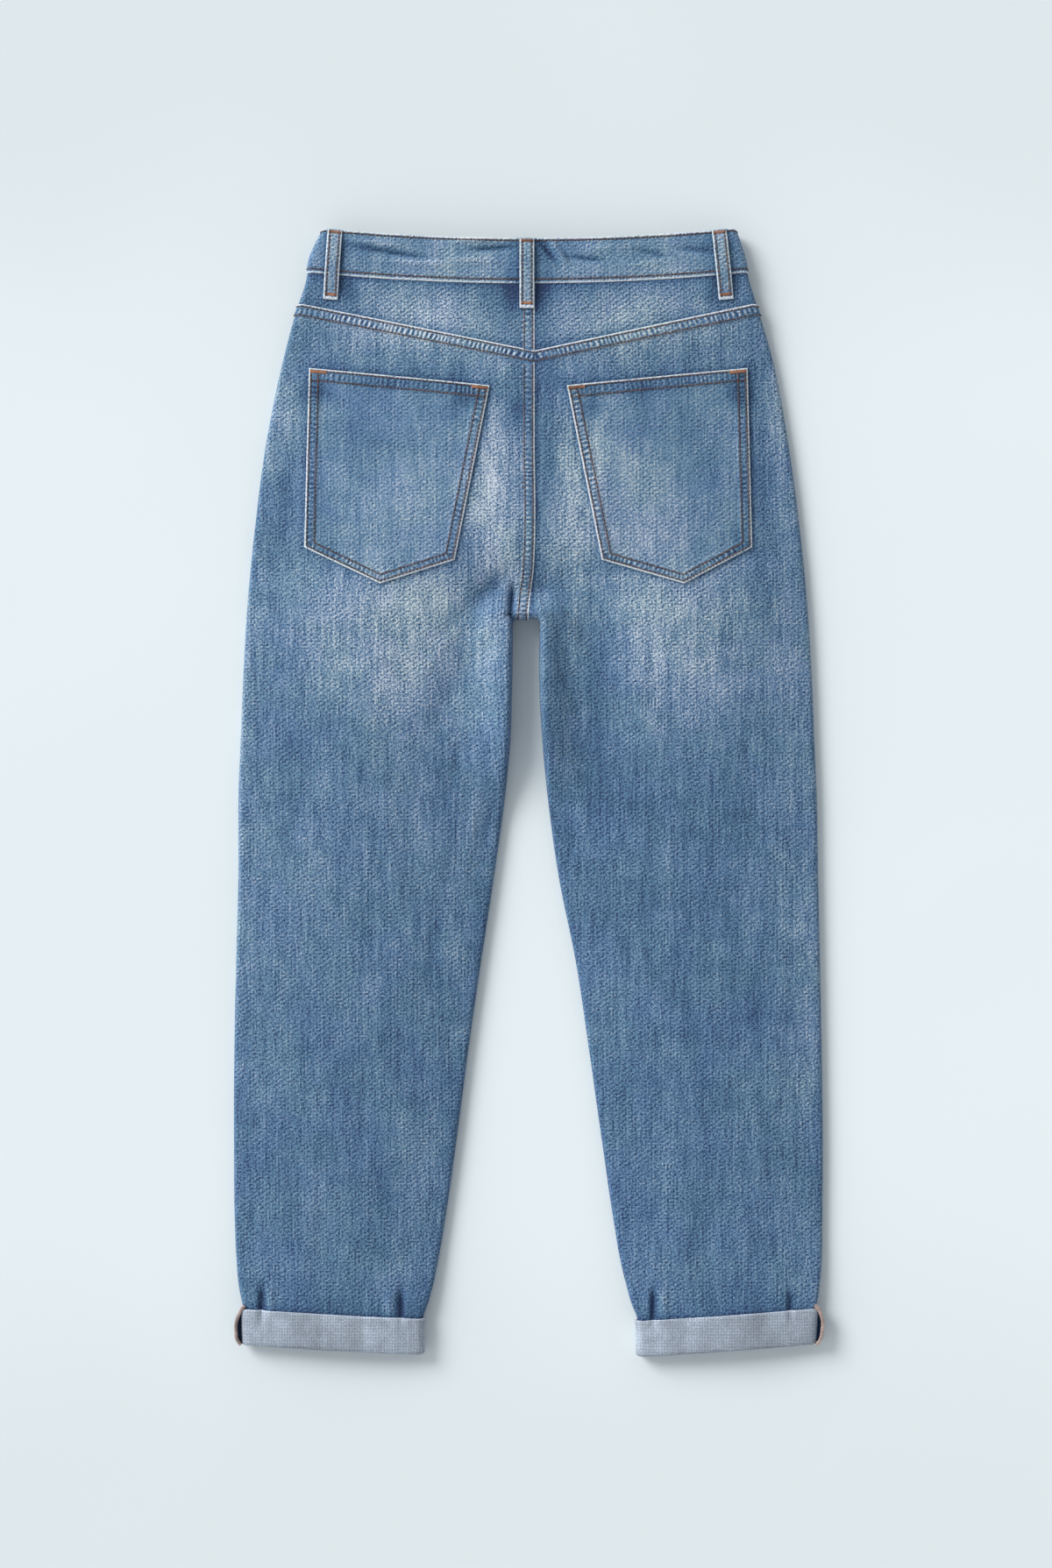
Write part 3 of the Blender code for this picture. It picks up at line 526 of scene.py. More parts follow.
class StageSettings(bpy.types.PropertyGroup):
    """Floor, lights and camera."""

    floor: colour_setting("Floor", "Colour of the pale surface under the jeans", (0.78, 0.84, 0.86))
    key_strength: bpy.props.FloatProperty(
        name="Key light",
        description="Strength of the large soft light from the upper left",
        default=2.6,
        min=0,
        max=20,
    )
    key_softness: bpy.props.FloatProperty(
        name="Key light's width",
        description="Angle that the key light fills as seen from the jeans",
        default=math.radians(28),
        min=0,
        max=math.pi,
        subtype="ANGLE",
    )
    fill_strength: bpy.props.FloatProperty(
        name="Fill light",
        description="Strength of the soft light from all round, which is strongest near the horizon",
        default=1.47,
        min=0,
        max=5,
    )
    camera_height: length_setting("Camera height", "Height of the camera above the floor", 2.5, 0.5, 10)


# The shape that every piece is made from


def soft(t):
    """A smooth step from 0 to 1 as t runs from 0 to 1."""
    t = np.clip(t, 0, 1)
    return t * t * (3 - 2 * t)


def read(table, column, y):
    """The named column at y, from a smooth (cubic Hermite) curve through the table's rows."""
    rows = sorted(table)
    ys = np.array([row.y for row in rows], float)
    values = np.array([getattr(row, column) for row in rows], float)
    slopes = np.gradient(values, ys)
    y = np.clip(np.asarray(y, float), ys[0], ys[-1])
    k = np.clip(np.searchsorted(ys, y) - 1, 0, len(ys) - 2)
    span = ys[k + 1] - ys[k]
    t = (y - ys[k]) / span
    start, end = (1 + 2 * t) * (1 - t) ** 2, t * t * (3 - 2 * t)
    leave, arrive = t * (1 - t) ** 2, t * t * (t - 1)
    return start * values[k] + end * values[k + 1] + span * (leave * slopes[k] + arrive * slopes[k + 1])


def stacked(x, y, z):
    """Three values for each point, such as its coordinates, spread to one grid."""
    return np.stack(np.broadcast_arrays(x, y, z), -1)


def dent(value, middle, half_width):
    """1 at the middle, falling off as a bell to both sides."""
    return np.exp(-(((value - middle) / half_width) ** 2))


def rounded_off(edge, depth, reach):
    """How far a fold drops towards its edge: a parabola, from nothing at the reach to all the depth at 0."""
    return depth * np.clip(1 - edge / reach, 0, 1) ** 2


def side_x(side, y):
    """Where a leg's outer fold lies across the page."""
    return read(OUTLINE, f"{side}_side", y)


def inseam_x(side, y):
    """Where a leg's inner fold lies across the page."""
    return read(OUTLINE, f"{side}_inseam", y)


def under(y):
    """Height of the lower layer's outer face above the surface that the jeans lie on."""
    return np.maximum(read(LEVELS, "under", y), 0)


def between_folds(x, first, last):
    """A half cosine: 0 at each folded edge, 1 midway."""
    place = (2 * x - first - last) / (last - first)
    return np.cos(math.pi / 2 * np.clip(place, -1, 1))


def crown_share(x, y):
    """How much of its rise the upper layer has at a point: one arch over the seat and one over each leg."""
    left, right = side_x("left", y) + FOLD, side_x("right", y) - FOLD
    seat = between_folds(x, left, right)
    left_leg = between_folds(x, left, inseam_x("left", y) - FOLD)
    right_leg = between_folds(x, inseam_x("right", y) + FOLD, right)
    legs = np.where(x < CENTRE_FRONT, left_leg, right_leg)
    seat_part = soft((y - CROTCH_Y - FOLD) / CROTCH_BLEND)
    return seat_part * seat + (1 - seat_part) * legs


def ridges(table, x, y):
    """Soft ridges and troughs: a bell across each line, which fades out along it."""
    total = np.zeros(np.broadcast(x, y).shape)
    for ridge in table:
        turn = math.radians(ridge.degrees)
        along = (x - ridge.x) * math.cos(turn) + (y - ridge.y) * math.sin(turn)
        off_line = (y - ridge.y) * math.cos(turn) - (x - ridge.x) * math.sin(turn)
        fade = soft(1.2 - np.abs(along) / ridge.half_length)
        total += ridge.rise * fade * np.exp(-2 * (off_line / ridge.half_width) ** 2)
    return total


WAVES = np.random.default_rng(11).uniform(-1, 1, (14, 4))
WAVE_LENGTH, WAVE_SPREAD, WAVE_RISE = 75, 35, 0.9
RIDGE_EASE, CREASE_EASE = 2.5, 5  # how soon ridges and creases are full, going in from a folded edge


def unevenness(x, y):
    """Slight waviness of laid cloth: the sum of fourteen plane waves, 40 to 110 mm long."""
    total = np.zeros(np.broadcast(x, y).shape)
    for lean, size, start, share in WAVES:
        step = 2 * math.pi / (WAVE_LENGTH + WAVE_SPREAD * size)
        distance = x * math.cos(3 * lean) + y * math.sin(3 * lean)
        total += (0.6 + 0.4 * share) * np.sin(step * distance + 9 * start)
    return total / len(WAVES)


def crotch_bunch(x, y):
    """How far the seams' junction props up the inner folds: bells across them, faded out at both ends."""
    off_left, off_right = np.abs(x - inseam_x("left", y)), np.abs(x - inseam_x("right", y))
    near = dent(np.minimum(off_left, off_right), 0, BUNCH_WIDTH)
    grown, ended = soft((y - BUNCH_LOW_Y) / BUNCH_GROWS), soft((y - CROTCH_Y - 2) / BUNCH_ENDS)
    return BUNCH_RISE * near * grown * (1 - ended)


def back_height(x, y):
    """Height of the upper layer's outer face. The ridges die out towards the folded edges."""
    edge, crown = read(LEVELS, "edge", y), read(LEVELS, "crown", y)
    share = crown_share(x, y)
    inside = soft(share * RIDGE_EASE)
    fine = ridges(CREASES, x, y) * soft(share * CREASE_EASE) + WAVE_RISE * unevenness(x, y) * inside
    broad = edge + (crown - edge) * share + ridges(RIDGES, x, y) * inside
    seams = ridges(CROTCH_CREASES, x, y) * soft((y - CROTCH_Y + 2) / 4)
    return broad + fine + seams + crotch_bunch(x, y)


def facing(shape, up):
    """Normals that all point straight up, or straight down."""
    return np.broadcast_to((0.0, 0.0, 1.0 if up else -1.0), (*shape, 3))


def layer(x, y, up):
    """Points and outward normals on the upper or the lower layer."""
    x, y = np.broadcast_arrays(np.asarray(x, float), np.asarray(y, float))
    return stacked(x, y, back_height(x, y) if up else under(y)), facing(x.shape, up)


def turned_edge(x, y, toward_x, toward_y, margin=MARGIN, y_under=None):
    """Points and normals from the upper layer at x, y out round the fold, down, and back underneath.

    The fold is a half ellipse, FOLD wide in plan, between the upper and the lower layer. A margin of None
    ends it where it meets the lower layer.
    """
    given = (x, y, toward_x, toward_y, y if y_under is None else y_under)
    columns = (np.asarray(value, float)[..., None] for value in given)
    x, y, toward_x, toward_y, y_under = np.broadcast_arrays(*columns)
    angle = np.linspace(math.pi / 2, -math.pi / 2, FOLD_STEPS + 1)
    top, low = back_height(x, y), under(y_under)
    out = FOLD * np.cos(angle)
    sinking = (1 - np.sin(angle)) / 2
    points = stacked(
        x + toward_x * out,
        y + (y_under - y) * sinking + toward_y * out,
        (top + low) / 2 + (top - low) / 2 * np.sin(angle),
    )
    normals = stacked(toward_x * np.cos(angle), toward_y * np.cos(angle), np.sin(angle))
    if margin is None:
        return points, normals
    last = points[..., -1:, :] - margin * stacked(toward_x, toward_y, 0)
    return np.concatenate([points, last], -2), np.concatenate([normals, normals[..., -1:, :]], -2)


def moved(points, normals, distance):
    """Points pushed out along their normals, by one distance or by one for each point."""
    return points + normals * np.asarray(distance, float)[..., None]


def waist_y(x, on_back):
    """Top edge of the waistband, which dips towards the middle and more so in front."""
    depth, power = (BACK_DIP, BACK_DIP_POWER) if on_back else (FRONT_DIP, FRONT_DIP_POWER)
    return WAIST_Y - depth * (1 - np.minimum(np.abs(x) / WAIST_HALF, 1) ** power)


def patches(table, x, y):
    """How much paler or darker the wash is: the sum of soft oval bells."""
    total = np.zeros(np.broadcast(x, y).shape)
    for patch in table:
        across, up = (x - patch.x) / patch.half_x, (y - patch.y) / patch.half_y
        total += patch.amount * np.exp(-(across**2) - up**2)
    return total


# Seam edges


def row_place(distance, first, second):
    """A distance in from an edge, in stitch rows: 1 at the first row, 2 at the second, 4 well inside."""
    return np.interp(distance, [0, first, second, second + 6], [0, 1, 2, 4])


def rope_phase(along):
    """A distance along a seam, stretched and squeezed a little, so that its puckers are unevenly spaced."""
    return along + 1.1 * np.sin(along / 7.3) + 0.7 * np.sin(along / 3.9 + 1) + 2.0 * np.sin(along / 31 + 2)


SEAM_THICK, SEAM_PRESSED, SEAM_ROUNDED, PUCKER_RISE = 0.5, 0.28, 0.45, 0.24


def seam_relief(rows, roped, along):
    """Height that a sewn edge adds: full over its allowance, pressed in at the stitches and rounded off.

    Between the two rows it puckers, as a sine along the seam.
    """
    thick = SEAM_THICK * soft((2.5 - rows) / 0.4)
    second = np.where(roped > 0, dent(rows, 2, 0.12), 0)
    pressed = SEAM_PRESSED * (dent(rows, 1, 0.16) + second)
    between = soft((rows - 1.05) / 0.25) * soft((1.95 - rows) / 0.2)
    puckers = PUCKER_RISE * roped * between * np.sin(2 * math.pi * rope_phase(along) / ROPE_PITCH)
    return thick - pressed - rounded_off(rows, SEAM_ROUNDED, 0.7) + puckers


# Meshes

NO_SEAM, NO_LOOK = (0.0, 9.0, 0.0), (0.0, 0.0, 0.0)
Cloth = namedtuple("Cloth", "outer inner flat look seam cells", defaults=(NO_SEAM, None))


def squares(index, cells):
    """The corners of each grid square that is cloth."""
    return np.stack([index[:-1, :-1], index[:-1, 1:], index[1:, 1:], index[1:, :-1]], -1)[cells]


def rims(index, cells):
    """Both ends of each side of a cloth square that has no cloth beyond it."""
    padded = np.pad(cells, 1)
    sides = (
        (index[:-1, :-1], index[:-1, 1:], padded[:-2, 1:-1]),
        (index[1:, :-1], index[1:, 1:], padded[2:, 1:-1]),
        (index[:-1, :-1], index[1:, :-1], padded[1:-1, :-2]),
        (index[:-1, 1:], index[1:, 1:], padded[1:-1, 2:]),
    )
    return np.concatenate([np.stack([a, b], -1)[cells & ~beyond] for a, b, beyond in sides])


def ring_squares(index):
    """The corners of each square of a grid whose rows close on themselves."""
    around = np.roll(index, -1, axis=1)
    return np.stack([index[:-1], around[:-1], around[1:], index[1:]], -1).reshape(-1, 4)


def new_mesh(name, points, faces):
    """A mesh of points given in millimetres, with faces given by their points' numbers."""
    mesh = bpy.data.meshes.new(name)
    mesh.from_pydata((points.reshape(-1, 3) * MM).tolist(), [], faces)
    return mesh


def set_points(mesh, name, values):
    """Stores a vector at each point, for the materials to read."""
    stored = mesh.attributes.new(name, "FLOAT_VECTOR", "POINT")
    stored.data.foreach_set("vector", np.ascontiguousarray(values, np.float32).ravel())


def link(name, mesh, finishes, sharp_degrees=50):
    """The finished piece, on the body, with smooth faces and its materials, which are given by name."""
    mesh.shade_smooth()
    mesh.set_sharp_from_angle(angle=math.radians(sharp_degrees))
    for finish in finishes:
        mesh.materials.append(bpy.data.materials[finish])
    made = bpy.data.objects.new(name, mesh)
    bpy.context.scene.collection.objects.link(made)
    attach(made, "root")
    return made


def turn_outwards(mesh):
    """Turns all faces of a closed mesh outwards."""
    shape = bmesh.new()
    shape.from_mesh(mesh)
    bmesh.ops.recalc_face_normals(shape, faces=shape.faces)
    shape.to_mesh(mesh)
    shape.free()


def cloth_piece(name, cloth, face, back):
    """A closed wall of cloth between two grids of points, with its right side on the outer grid."""
    rows, columns = cloth.outer.shape[:2]
    count = rows * columns
    index = np.arange(count).reshape(rows, columns)
    cells = np.ones((rows - 1, columns - 1), bool) if cloth.cells is None else cloth.cells
    top, edge = squares(index, cells), rims(index, cells)
    rim = np.concatenate([edge, edge[:, ::-1] + count], 1)
    used, faces = np.unique(np.concatenate([top, top + count, rim]), return_inverse=True)
    points = np.concatenate([cloth.outer.reshape(-1, 3), cloth.inner.reshape(-1, 3)])[used]
    mesh = new_mesh(name, points, faces.reshape(-1, 4).tolist())
    turn_outwards(mesh)
    side = np.repeat([0, 1, 0], [len(top), len(top), len(rim)]).astype(np.int32)
    mesh.polygons.foreach_set("material_index", side)
    for label in ("flat", "seam", "look"):
        grid = np.broadcast_to(getattr(cloth, label), (rows, columns, 3)).reshape(-1, 3)
        set_points(mesh, label, np.concatenate([grid, grid])[used])
    return link(name, mesh, [face, back])


def along_rows(points):
    """Distance along each row of a grid, in millimetres."""
    steps = np.linalg.norm(np.diff(points, axis=1), axis=-1)
    return np.concatenate([np.zeros((len(points), 1)), np.cumsum(steps, 1)], 1)


def flat_places(points, column, way):
    """Where each point lay on the flat cloth, in metres: across from the given column, and up the garment."""
    along = along_rows(points)
    across = points[:, column, 0][:, None] + way * (along - along[:, column][:, None])
    return stacked(across * MM, points[..., 1] * MM, 0)


def plan(points):
    """Where each point lies on the page, in metres, for cloth that is nearly level."""
    return points * (MM, MM, 0)


# Painted light and shade along the creases: crests are painted paler and troughs darker by this much for each
# millimetre
CREASE_LIGHT_AND_SHADE = 0.11  # how much paler each millimetre of a crease's height is


def seam_places(along, rows, roped):
    """What the materials need at a seam: the puckers' phase in metres, the rows, and how roped it is."""
    return stacked(rope_phase(along) * MM, rows, roped)


def wash(points, table, base=0.0, worn=0.0, kept_indigo_and_painted_shade=0.0):
    """How each point looks: paler or darker by the wash and by painted shade, how worn, and how much kept
    indigo and painted shade darken it.

    The crests of creases are painted paler and their troughs darker: painted light and shade that follow the
    creases.
    """
    x, y = points[..., 0], points[..., 1]
    creases = CREASES if table is BACK_WASH_AND_SHADE else FRONT_CREASES
    return stacked(base + patches(table, x, y) + CREASE_LIGHT_AND_SHADE * ridges(creases, x, y), worn, kept_indigo_and_painted_shade)


def declare(piece, node, with_pieces=()):
    """Hides the solid that a cloth piece replaces."""
    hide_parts(node)


# Nodes


def add(tree, kind, inputs=None, **settings):
    """A node with its settings made, and its inputs given numbers or joined to other sockets."""
    made = tree.nodes.new(kind)
    for key, value in settings.items():
        setattr(made, key, value)
    for key, value in (inputs or {}).items():
        if isinstance(value, bpy.types.NodeSocket):
            tree.links.new(value, made.inputs[key])
        else:
            made.inputs[key].default_value = value
    return made


def calculated(tree, operation, *values):
    """One number worked out from others."""
    return add(tree, "ShaderNodeMath", dict(enumerate(values)), operation=operation).outputs[0]


def product(tree, first, second):
    """The product of two numbers."""
    return calculated(tree, "MULTIPLY", first, second)


def product_plus(tree, first, second, third):
    """The product of two numbers, plus a third."""
    return calculated(tree, "MULTIPLY_ADD", first, second, third)


def parts_of(tree, vector):
    """A vector's three numbers."""
    return add(tree, "ShaderNodeSeparateXYZ", {0: vector}).outputs


def mixed(tree, share, first, second):
    """A colour between two, for a share from 0 to 1."""
    inputs = {0: share, 6: (*first, 1), 7: (*second, 1)}
    return add(tree, "ShaderNodeMix", inputs, data_type="RGBA").outputs[2]


def coloured(tree, value, stops):
    """A colour for a number, from stops that each have a place and a colour."""
    made = add(tree, "ShaderNodeValToRGB", {"Fac": value})
    elements = made.color_ramp.elements
    while len(elements) < len(stops):
        elements.new(0.5)
    for element, (place, colour) in zip(elements, stops):
        element.position = place
        element.color = (*colour, 1)
    return made.outputs["Color"]


def dimmed(colour, share):
    """A colour times a number, kept within 1."""
    return [min(1, share * part) for part in colour]


def scaled(tree, vector, x, y):
    """A vector with its first two parts scaled."""
    return add(tree, "ShaderNodeVectorMath", {0: vector, 1: (x, y, 1)}, operation="MULTIPLY").outputs[0]


def noise(tree, vector, scale, detail=2, roughness=0.5, dimensions="2D"):
    """Cloudy noise, from about 0.2 to 0.8."""
    inputs = {"Vector": vector, "Scale": scale, "Detail": detail, "Roughness": roughness}
    return add(tree, "ShaderNodeTexNoise", inputs, noise_dimensions=dimensions).outputs["Fac"]


def spread(tree, value, low, high, to_low=0.0, to_high=1.0):
    """A number moved from one range to another, and kept inside it."""
    inputs = {"Value": value, "From Min": low, "From Max": high, "To Min": to_low, "To Max": to_high}
    return add(tree, "ShaderNodeMapRange", inputs, interpolation_type="SMOOTHSTEP").outputs[0]


def bell(tree, value, middle, half_width):
    """1 at the middle, falling off softly to both sides."""
    off = calculated(tree, "SUBTRACT", value, middle)
    away = calculated(tree, "DIVIDE", off, half_width)
    square = product(tree, away, away)
    return calculated(tree, "POWER", 0.37, square)


def group(name, inputs, outputs):
    """An empty shader node group with its sockets. Returns it with its input and output nodes."""
    tree = bpy.data.node_groups.new(name, "ShaderNodeTree")
    for label, kind, value in inputs:
        socket = tree.interface.new_socket(label, in_out="INPUT", socket_type=kind)
        if value is not None:
            socket.default_value = value
    for label, kind in outputs:
        tree.interface.new_socket(label, in_out="OUTPUT", socket_type=kind)
    return tree, tree.nodes.new("NodeGroupInput").outputs, tree.nodes.new("NodeGroupOutput").inputs


VECTOR, NUMBER, COLOUR = "NodeSocketVector", "NodeSocketFloat", "NodeSocketColor"
OVERLOCK_COLOUR, BRASS_COLOUR = (0.46, 0.335, 0.29), (0.42, 0.33, 0.22)
TAPE_COLOURS = (0.035, 0.055, 0.1), (0.08, 0.115, 0.18)
WEFT_TINT, INDIGO_TINT = (0.975, 1.015, 0.975), (0.985, 0.99, 1.03)  # the wash leaves warmer and bluer zones
TWILL_STEEPNESS = 1.5  # how much closer the twill's diagonals follow each other up the cloth than across it
PALE_GRAIN_EASE = 0.7  # how far the palest grain is held back, so that dark and pale grain balance
CLOUD_SHARE, TICK_SHARE, GROOVE_SHARE, RUBBED_SHARE = 0.26, 0.44, 0.1, 0.62  # of the way to white
TICK_SLANT, TICK_DEPTH = 0.6, 0.35  # how the puckers lean between two rows, and how far dark outweighs pale
SLUB_SCALES, SLUB_WEIGHTS = ((110, 7), (220, 12), (480, 40)), (0.3, 0.55, 1.1)  # per metre, across and up


def weave_group(pitch):
    """Twill: diagonals crossed by single yarns, broken up by noise, with pale flecks and long slubs.

    Weave is a sine of across minus up, which draws diagonals that rise to the right, with finer sines along
    both yarns. Slubs is noise stretched up the cloth, from fine short ones to long broad ones.
    """
    tree, given, result = group(
        "twill weave",
        [("Flat", VECTOR, None)],
        [("Weave", NUMBER), ("Slubs", NUMBER), ("Flecks", NUMBER), ("Clouds", NUMBER)],
    )
    flat = given["Flat"]
    parts = parts_of(tree, flat)
    turns = 2 * math.pi / pitch
    lean = product_plus(tree, parts[1], -TWILL_STEEPNESS, parts[0])
    wander = product(tree, noise(tree, flat, 210), 3.6)
    diagonal = calculated(tree, "SINE", product_plus(tree, lean, turns, wander))
    yarns = calculated(tree, "SINE", product_plus(tree, parts[0], turns * 2.4, wander))
    crossing = calculated(tree, "SINE", product(tree, parts[1], turns * 2.3))
    grid = calculated(tree, "ADD", yarns, crossing)
    both = product_plus(tree, grid, 0.3, product(tree, diagonal, 0.6))
    patchy = spread(tree, noise(tree, flat, 55), 0.3, 0.62, 0.5, 1.0)
    tree.links.new(product(tree, both, patchy), result["Weave"])
    slubs = -0.5 * sum(SLUB_WEIGHTS)
    for (across, up), weight in zip(SLUB_SCALES, SLUB_WEIGHTS):
        slubs = product_plus(tree, noise(tree, scaled(tree, flat, across, up), 1.0), weight, slubs)
    tree.links.new(slubs, result["Slubs"])
    fine = noise(tree, flat, 640, 2, 0.8)
    tree.links.new(calculated(tree, "SUBTRACT", fine, 0.5), result["Flecks"])
    clouds = calculated(tree, "ADD", noise(tree, flat, 14, 3, 0.6), noise(tree, flat, 70, 3, 0.6))
    clouds = calculated(tree, "ADD", clouds, noise(tree, scaled(tree, flat, 48, 5), 1.0, 3, 0.6))
    tree.links.new(calculated(tree, "SUBTRACT", clouds, 1.5), result["Clouds"])
    return tree


def denim_group(denim, weave):
    """Stonewashed denim: one measure of paleness, through a ramp from deep indigo to undyed yarn.

    Paleness is a base, plus the wash's patches, some of them painted shade, and weave, slubs, flecks and
    clouds, less the darkening beside seams and edges, partly kept indigo and partly painted shade. Between a
    seam's rows the puckers' crests are pale and their hollows dark. Edges are rubbed white.
    """
    tree, given, result = group(
        "stonewashed denim",
        [
            ("Flat", VECTOR, None),
            ("Seam", VECTOR, None),
            ("Look", VECTOR, None),
            ("Twill", NUMBER, 0.1),
            ("Slub", NUMBER, 0.3),
            ("Fleck", NUMBER, 0.5),
        ],
        [("Color", COLOUR), ("Roughness", NUMBER), ("Height", NUMBER)],
    )
    cloth = add(tree, "ShaderNodeGroup", {"Flat": given["Flat"]}, node_tree=weave).outputs
    phase, rows, roped = parts_of(tree, given["Seam"])
    pale, worn, kept_indigo_and_painted_shade = parts_of(tree, given["Look"])

    grain = product(tree, cloth["Weave"], given["Twill"])
    grain = product_plus(tree, cloth["Slubs"], given["Slub"], grain)
    grain = product_plus(tree, cloth["Flecks"], given["Fleck"], grain)
    evened = product_plus(tree, grain, -PALE_GRAIN_EASE, 1.0)
    pale = product_plus(tree, grain, evened, pale)
    pale = product_plus(tree, cloth["Clouds"], CLOUD_SHARE, pale)
    # Less the darkening from kept indigo and painted shade beside seams and edges
    pale = calculated(tree, "SUBTRACT", pale, kept_indigo_and_painted_shade)

    between = product(tree, spread(tree, rows, 1.05, 1.3), spread(tree, rows, 1.95, 1.75))
    turns = product(tree, phase, 2 * math.pi / (ROPE_PITCH * MM))
    tilted = product_plus(tree, rows, TICK_SLANT, turns)
    ticks = calculated(tree, "ADD", calculated(tree, "SINE", tilted), -TICK_DEPTH)
    patchy = spread(tree, noise(tree, given["Flat"], 45), 0.35, 0.6, 0.35, 1.0)
    ticks = product(tree, product(tree, ticks, product(tree, between, roped)), patchy)
    pale = product_plus(tree, ticks, TICK_SHARE, pale)
    second = product(tree, bell(tree, rows, 2.0, 0.16), roped)
    grooves = calculated(tree, "ADD", bell(tree, rows, 1.0, 0.2), second)
    pale = product_plus(tree, grooves, -GROOVE_SHARE, pale)

    rubbed = product_plus(tree, cloth["Flecks"], 0.9, worn)
    rubbed = product(tree, spread(tree, rubbed, 0.25, 0.8), spread(tree, worn, 0.02, 0.2))
    pale = calculated(tree, "ADD", product(tree, rubbed, RUBBED_SHARE), pale)

    stops = (
        (0.0, denim.deep),
        (0.25, [0.45 * a + 0.55 * b for a, b in zip(denim.deep, denim.mid)]),
        (0.5, denim.mid),
        (0.75, denim.pale),
        (1.0, denim.worn),
    )
    hue = spread(tree, noise(tree, given["Flat"], 17, 3, 0.6), 0.36, 0.64)
    inputs = {0: 1.0, 6: coloured(tree, pale, stops), 7: mixed(tree, hue, WEFT_TINT, INDIGO_TINT)}
    tinted = add(tree, "ShaderNodeMix", inputs, data_type="RGBA", blend_type="MULTIPLY")
    tree.links.new(tinted.outputs[2], result["Color"])
    tree.links.new(product_plus(tree, pale, 0.12, 0.78), result["Roughness"])

    height = product_plus(tree, cloth["Weave"], 0.00022, product(tree, cloth["Flecks"], 0.0006))
    for form, metres in ((cloth["Slubs"], 0.00015), (ticks, 0.00018), (grooves, -0.00025)):
        height = product_plus(tree, form, metres, height)
    tree.links.new(height, result["Height"])
    return tree


def new_material(name, values):
    """A new material whose shader has the given values. Returns its tree and the shader's inputs."""
    made = bpy.data.materials.new(name)
    made.use_nodes = True
    inputs = made.node_tree.nodes["Principled BSDF"].inputs
    for label, value in values.items():
        inputs[label].default_value = value
    return made.node_tree, inputs


def attribute(tree, name):
    """A vector stored at the cloth's points."""
    return add(tree, "ShaderNodeAttribute", attribute_type="GEOMETRY", attribute_name=name).outputs["Vector"]


def object_places(tree):
    """Where each point of the piece is, in metres."""
    return add(tree, "ShaderNodeTexCoord").outputs["Object"]


def surface(tree, shader, colour, height):
    """Feeds a shader its colour, and as a bump its fine relief, in metres."""
    tree.links.new(colour, shader["Base Color"])
    bump = add(tree, "ShaderNodeBump", {"Height": height, "Distance": 1.0, "Strength": 1.0})
    tree.links.new(bump.outputs["Normal"], shader["Normal"])


def denim_material(name, cloth, twill, slub, fleck):
    """The denim's right side, with its own shares of twill, slubs and flecks."""
    tree, shader = new_material(name, {"Specular IOR Level": 0.2, "Sheen Weight": 0.08})
    inputs = {label: attribute(tree, label.lower()) for label in ("Flat", "Seam", "Look")}
    inputs.update({"Twill": twill, "Slub": slub, "Fleck": fleck})
    look = add(tree, "ShaderNodeGroup", inputs, node_tree=cloth).outputs
    tree.links.new(look["Roughness"], shader["Roughness"])
    surface(tree, shader, look["Color"], look["Height"])


REVERSE_PITCH = (0.0023, 0.0026)  # metres from yarn to yarn, across and up


def reverse_material(denim, weave):
    """The pale inner side: mostly undyed weft in a fine grid, with the indigo warp showing between."""
    tree, shader = new_material("denim reverse", {"Roughness": 0.9, "Specular IOR Level": 0.2})
    flat = attribute(tree, "flat")
    cloth = add(tree, "ShaderNodeGroup", {"Flat": flat}, node_tree=weave).outputs
    parts, look = parts_of(tree, flat), parts_of(tree, attribute(tree, "look"))
    across, up = (
        calculated(tree, "SINE", product(tree, parts[k], 2 * math.pi / REVERSE_PITCH[k])) for k in (0, 1)
    )
    grid = product(tree, calculated(tree, "ADD", across, up), 0.5)
    pale = product_plus(tree, grid, 0.12, 0.5)
    for label, share in (("Flecks", 0.8), ("Clouds", 0.42), ("Slubs", 0.1)):
        pale = product_plus(tree, cloth[label], share, pale)
    pale = calculated(tree, "ADD", pale, look[0])
    pale = product_plus(tree, look[1], 0.5, pale)
    stops = ((0.0, dimmed(denim.reverse, 0.45)), (0.5, denim.reverse), (1.0, dimmed(denim.reverse, 1.95)))
    height = product_plus(tree, grid, 0.00012, product(tree, cloth["Flecks"], 0.0004))
    surface(tree, shader, coloured(tree, pale, stops), height)


def thread_material(name, colour):
    """Cotton thread: two tones along each row, with the ply's fine cross lines as bump."""
    tree, shader = new_material(name, {"Roughness": 0.7, "Specular IOR Level": 0.3})
    place = object_places(tree)
    share = spread(tree, noise(tree, place, 90, dimensions="3D"), 0.35, 0.65)
    ply = add(tree, "ShaderNodeTexWave", {"Vector": place, "Scale": 600.0, "Distortion": 1.0}).outputs["Fac"]
    tones = mixed(tree, share, dimmed(colour, 0.65), dimmed(colour, 1.35))
    surface(tree, shader, tones, product(tree, ply, 0.00005))


def tape_material():
    """The zip's cotton tape: dark, with fine cross ribs."""
    tree, shader = new_material("zip tape", {"Roughness": 0.85})
    inputs = {"Vector": object_places(tree), "Scale": 160.0}
    ribs = add(tree, "ShaderNodeTexWave", inputs, bands_direction="Y").outputs["Fac"]
    surface(tree, shader, mixed(tree, ribs, *TAPE_COLOURS), product(tree, ribs, 0.0001))


def metal_material(name, colour):
    """Aged brass: cloudy tarnish, which is darker and rougher, over the metal."""
    tree, shader = new_material(name, {"Metallic": 1.0})
    cloud = noise(tree, object_places(tree), 420, 4, dimensions="3D")
    tree.links.new(spread(tree, cloud, 0.3, 0.7, 0.5, 0.28), shader["Roughness"])
    tones = mixed(tree, spread(tree, cloud, 0.3, 0.7), dimmed(colour, 0.5), colour)
    surface(tree, shader, tones, product(tree, cloud, 0.00008))


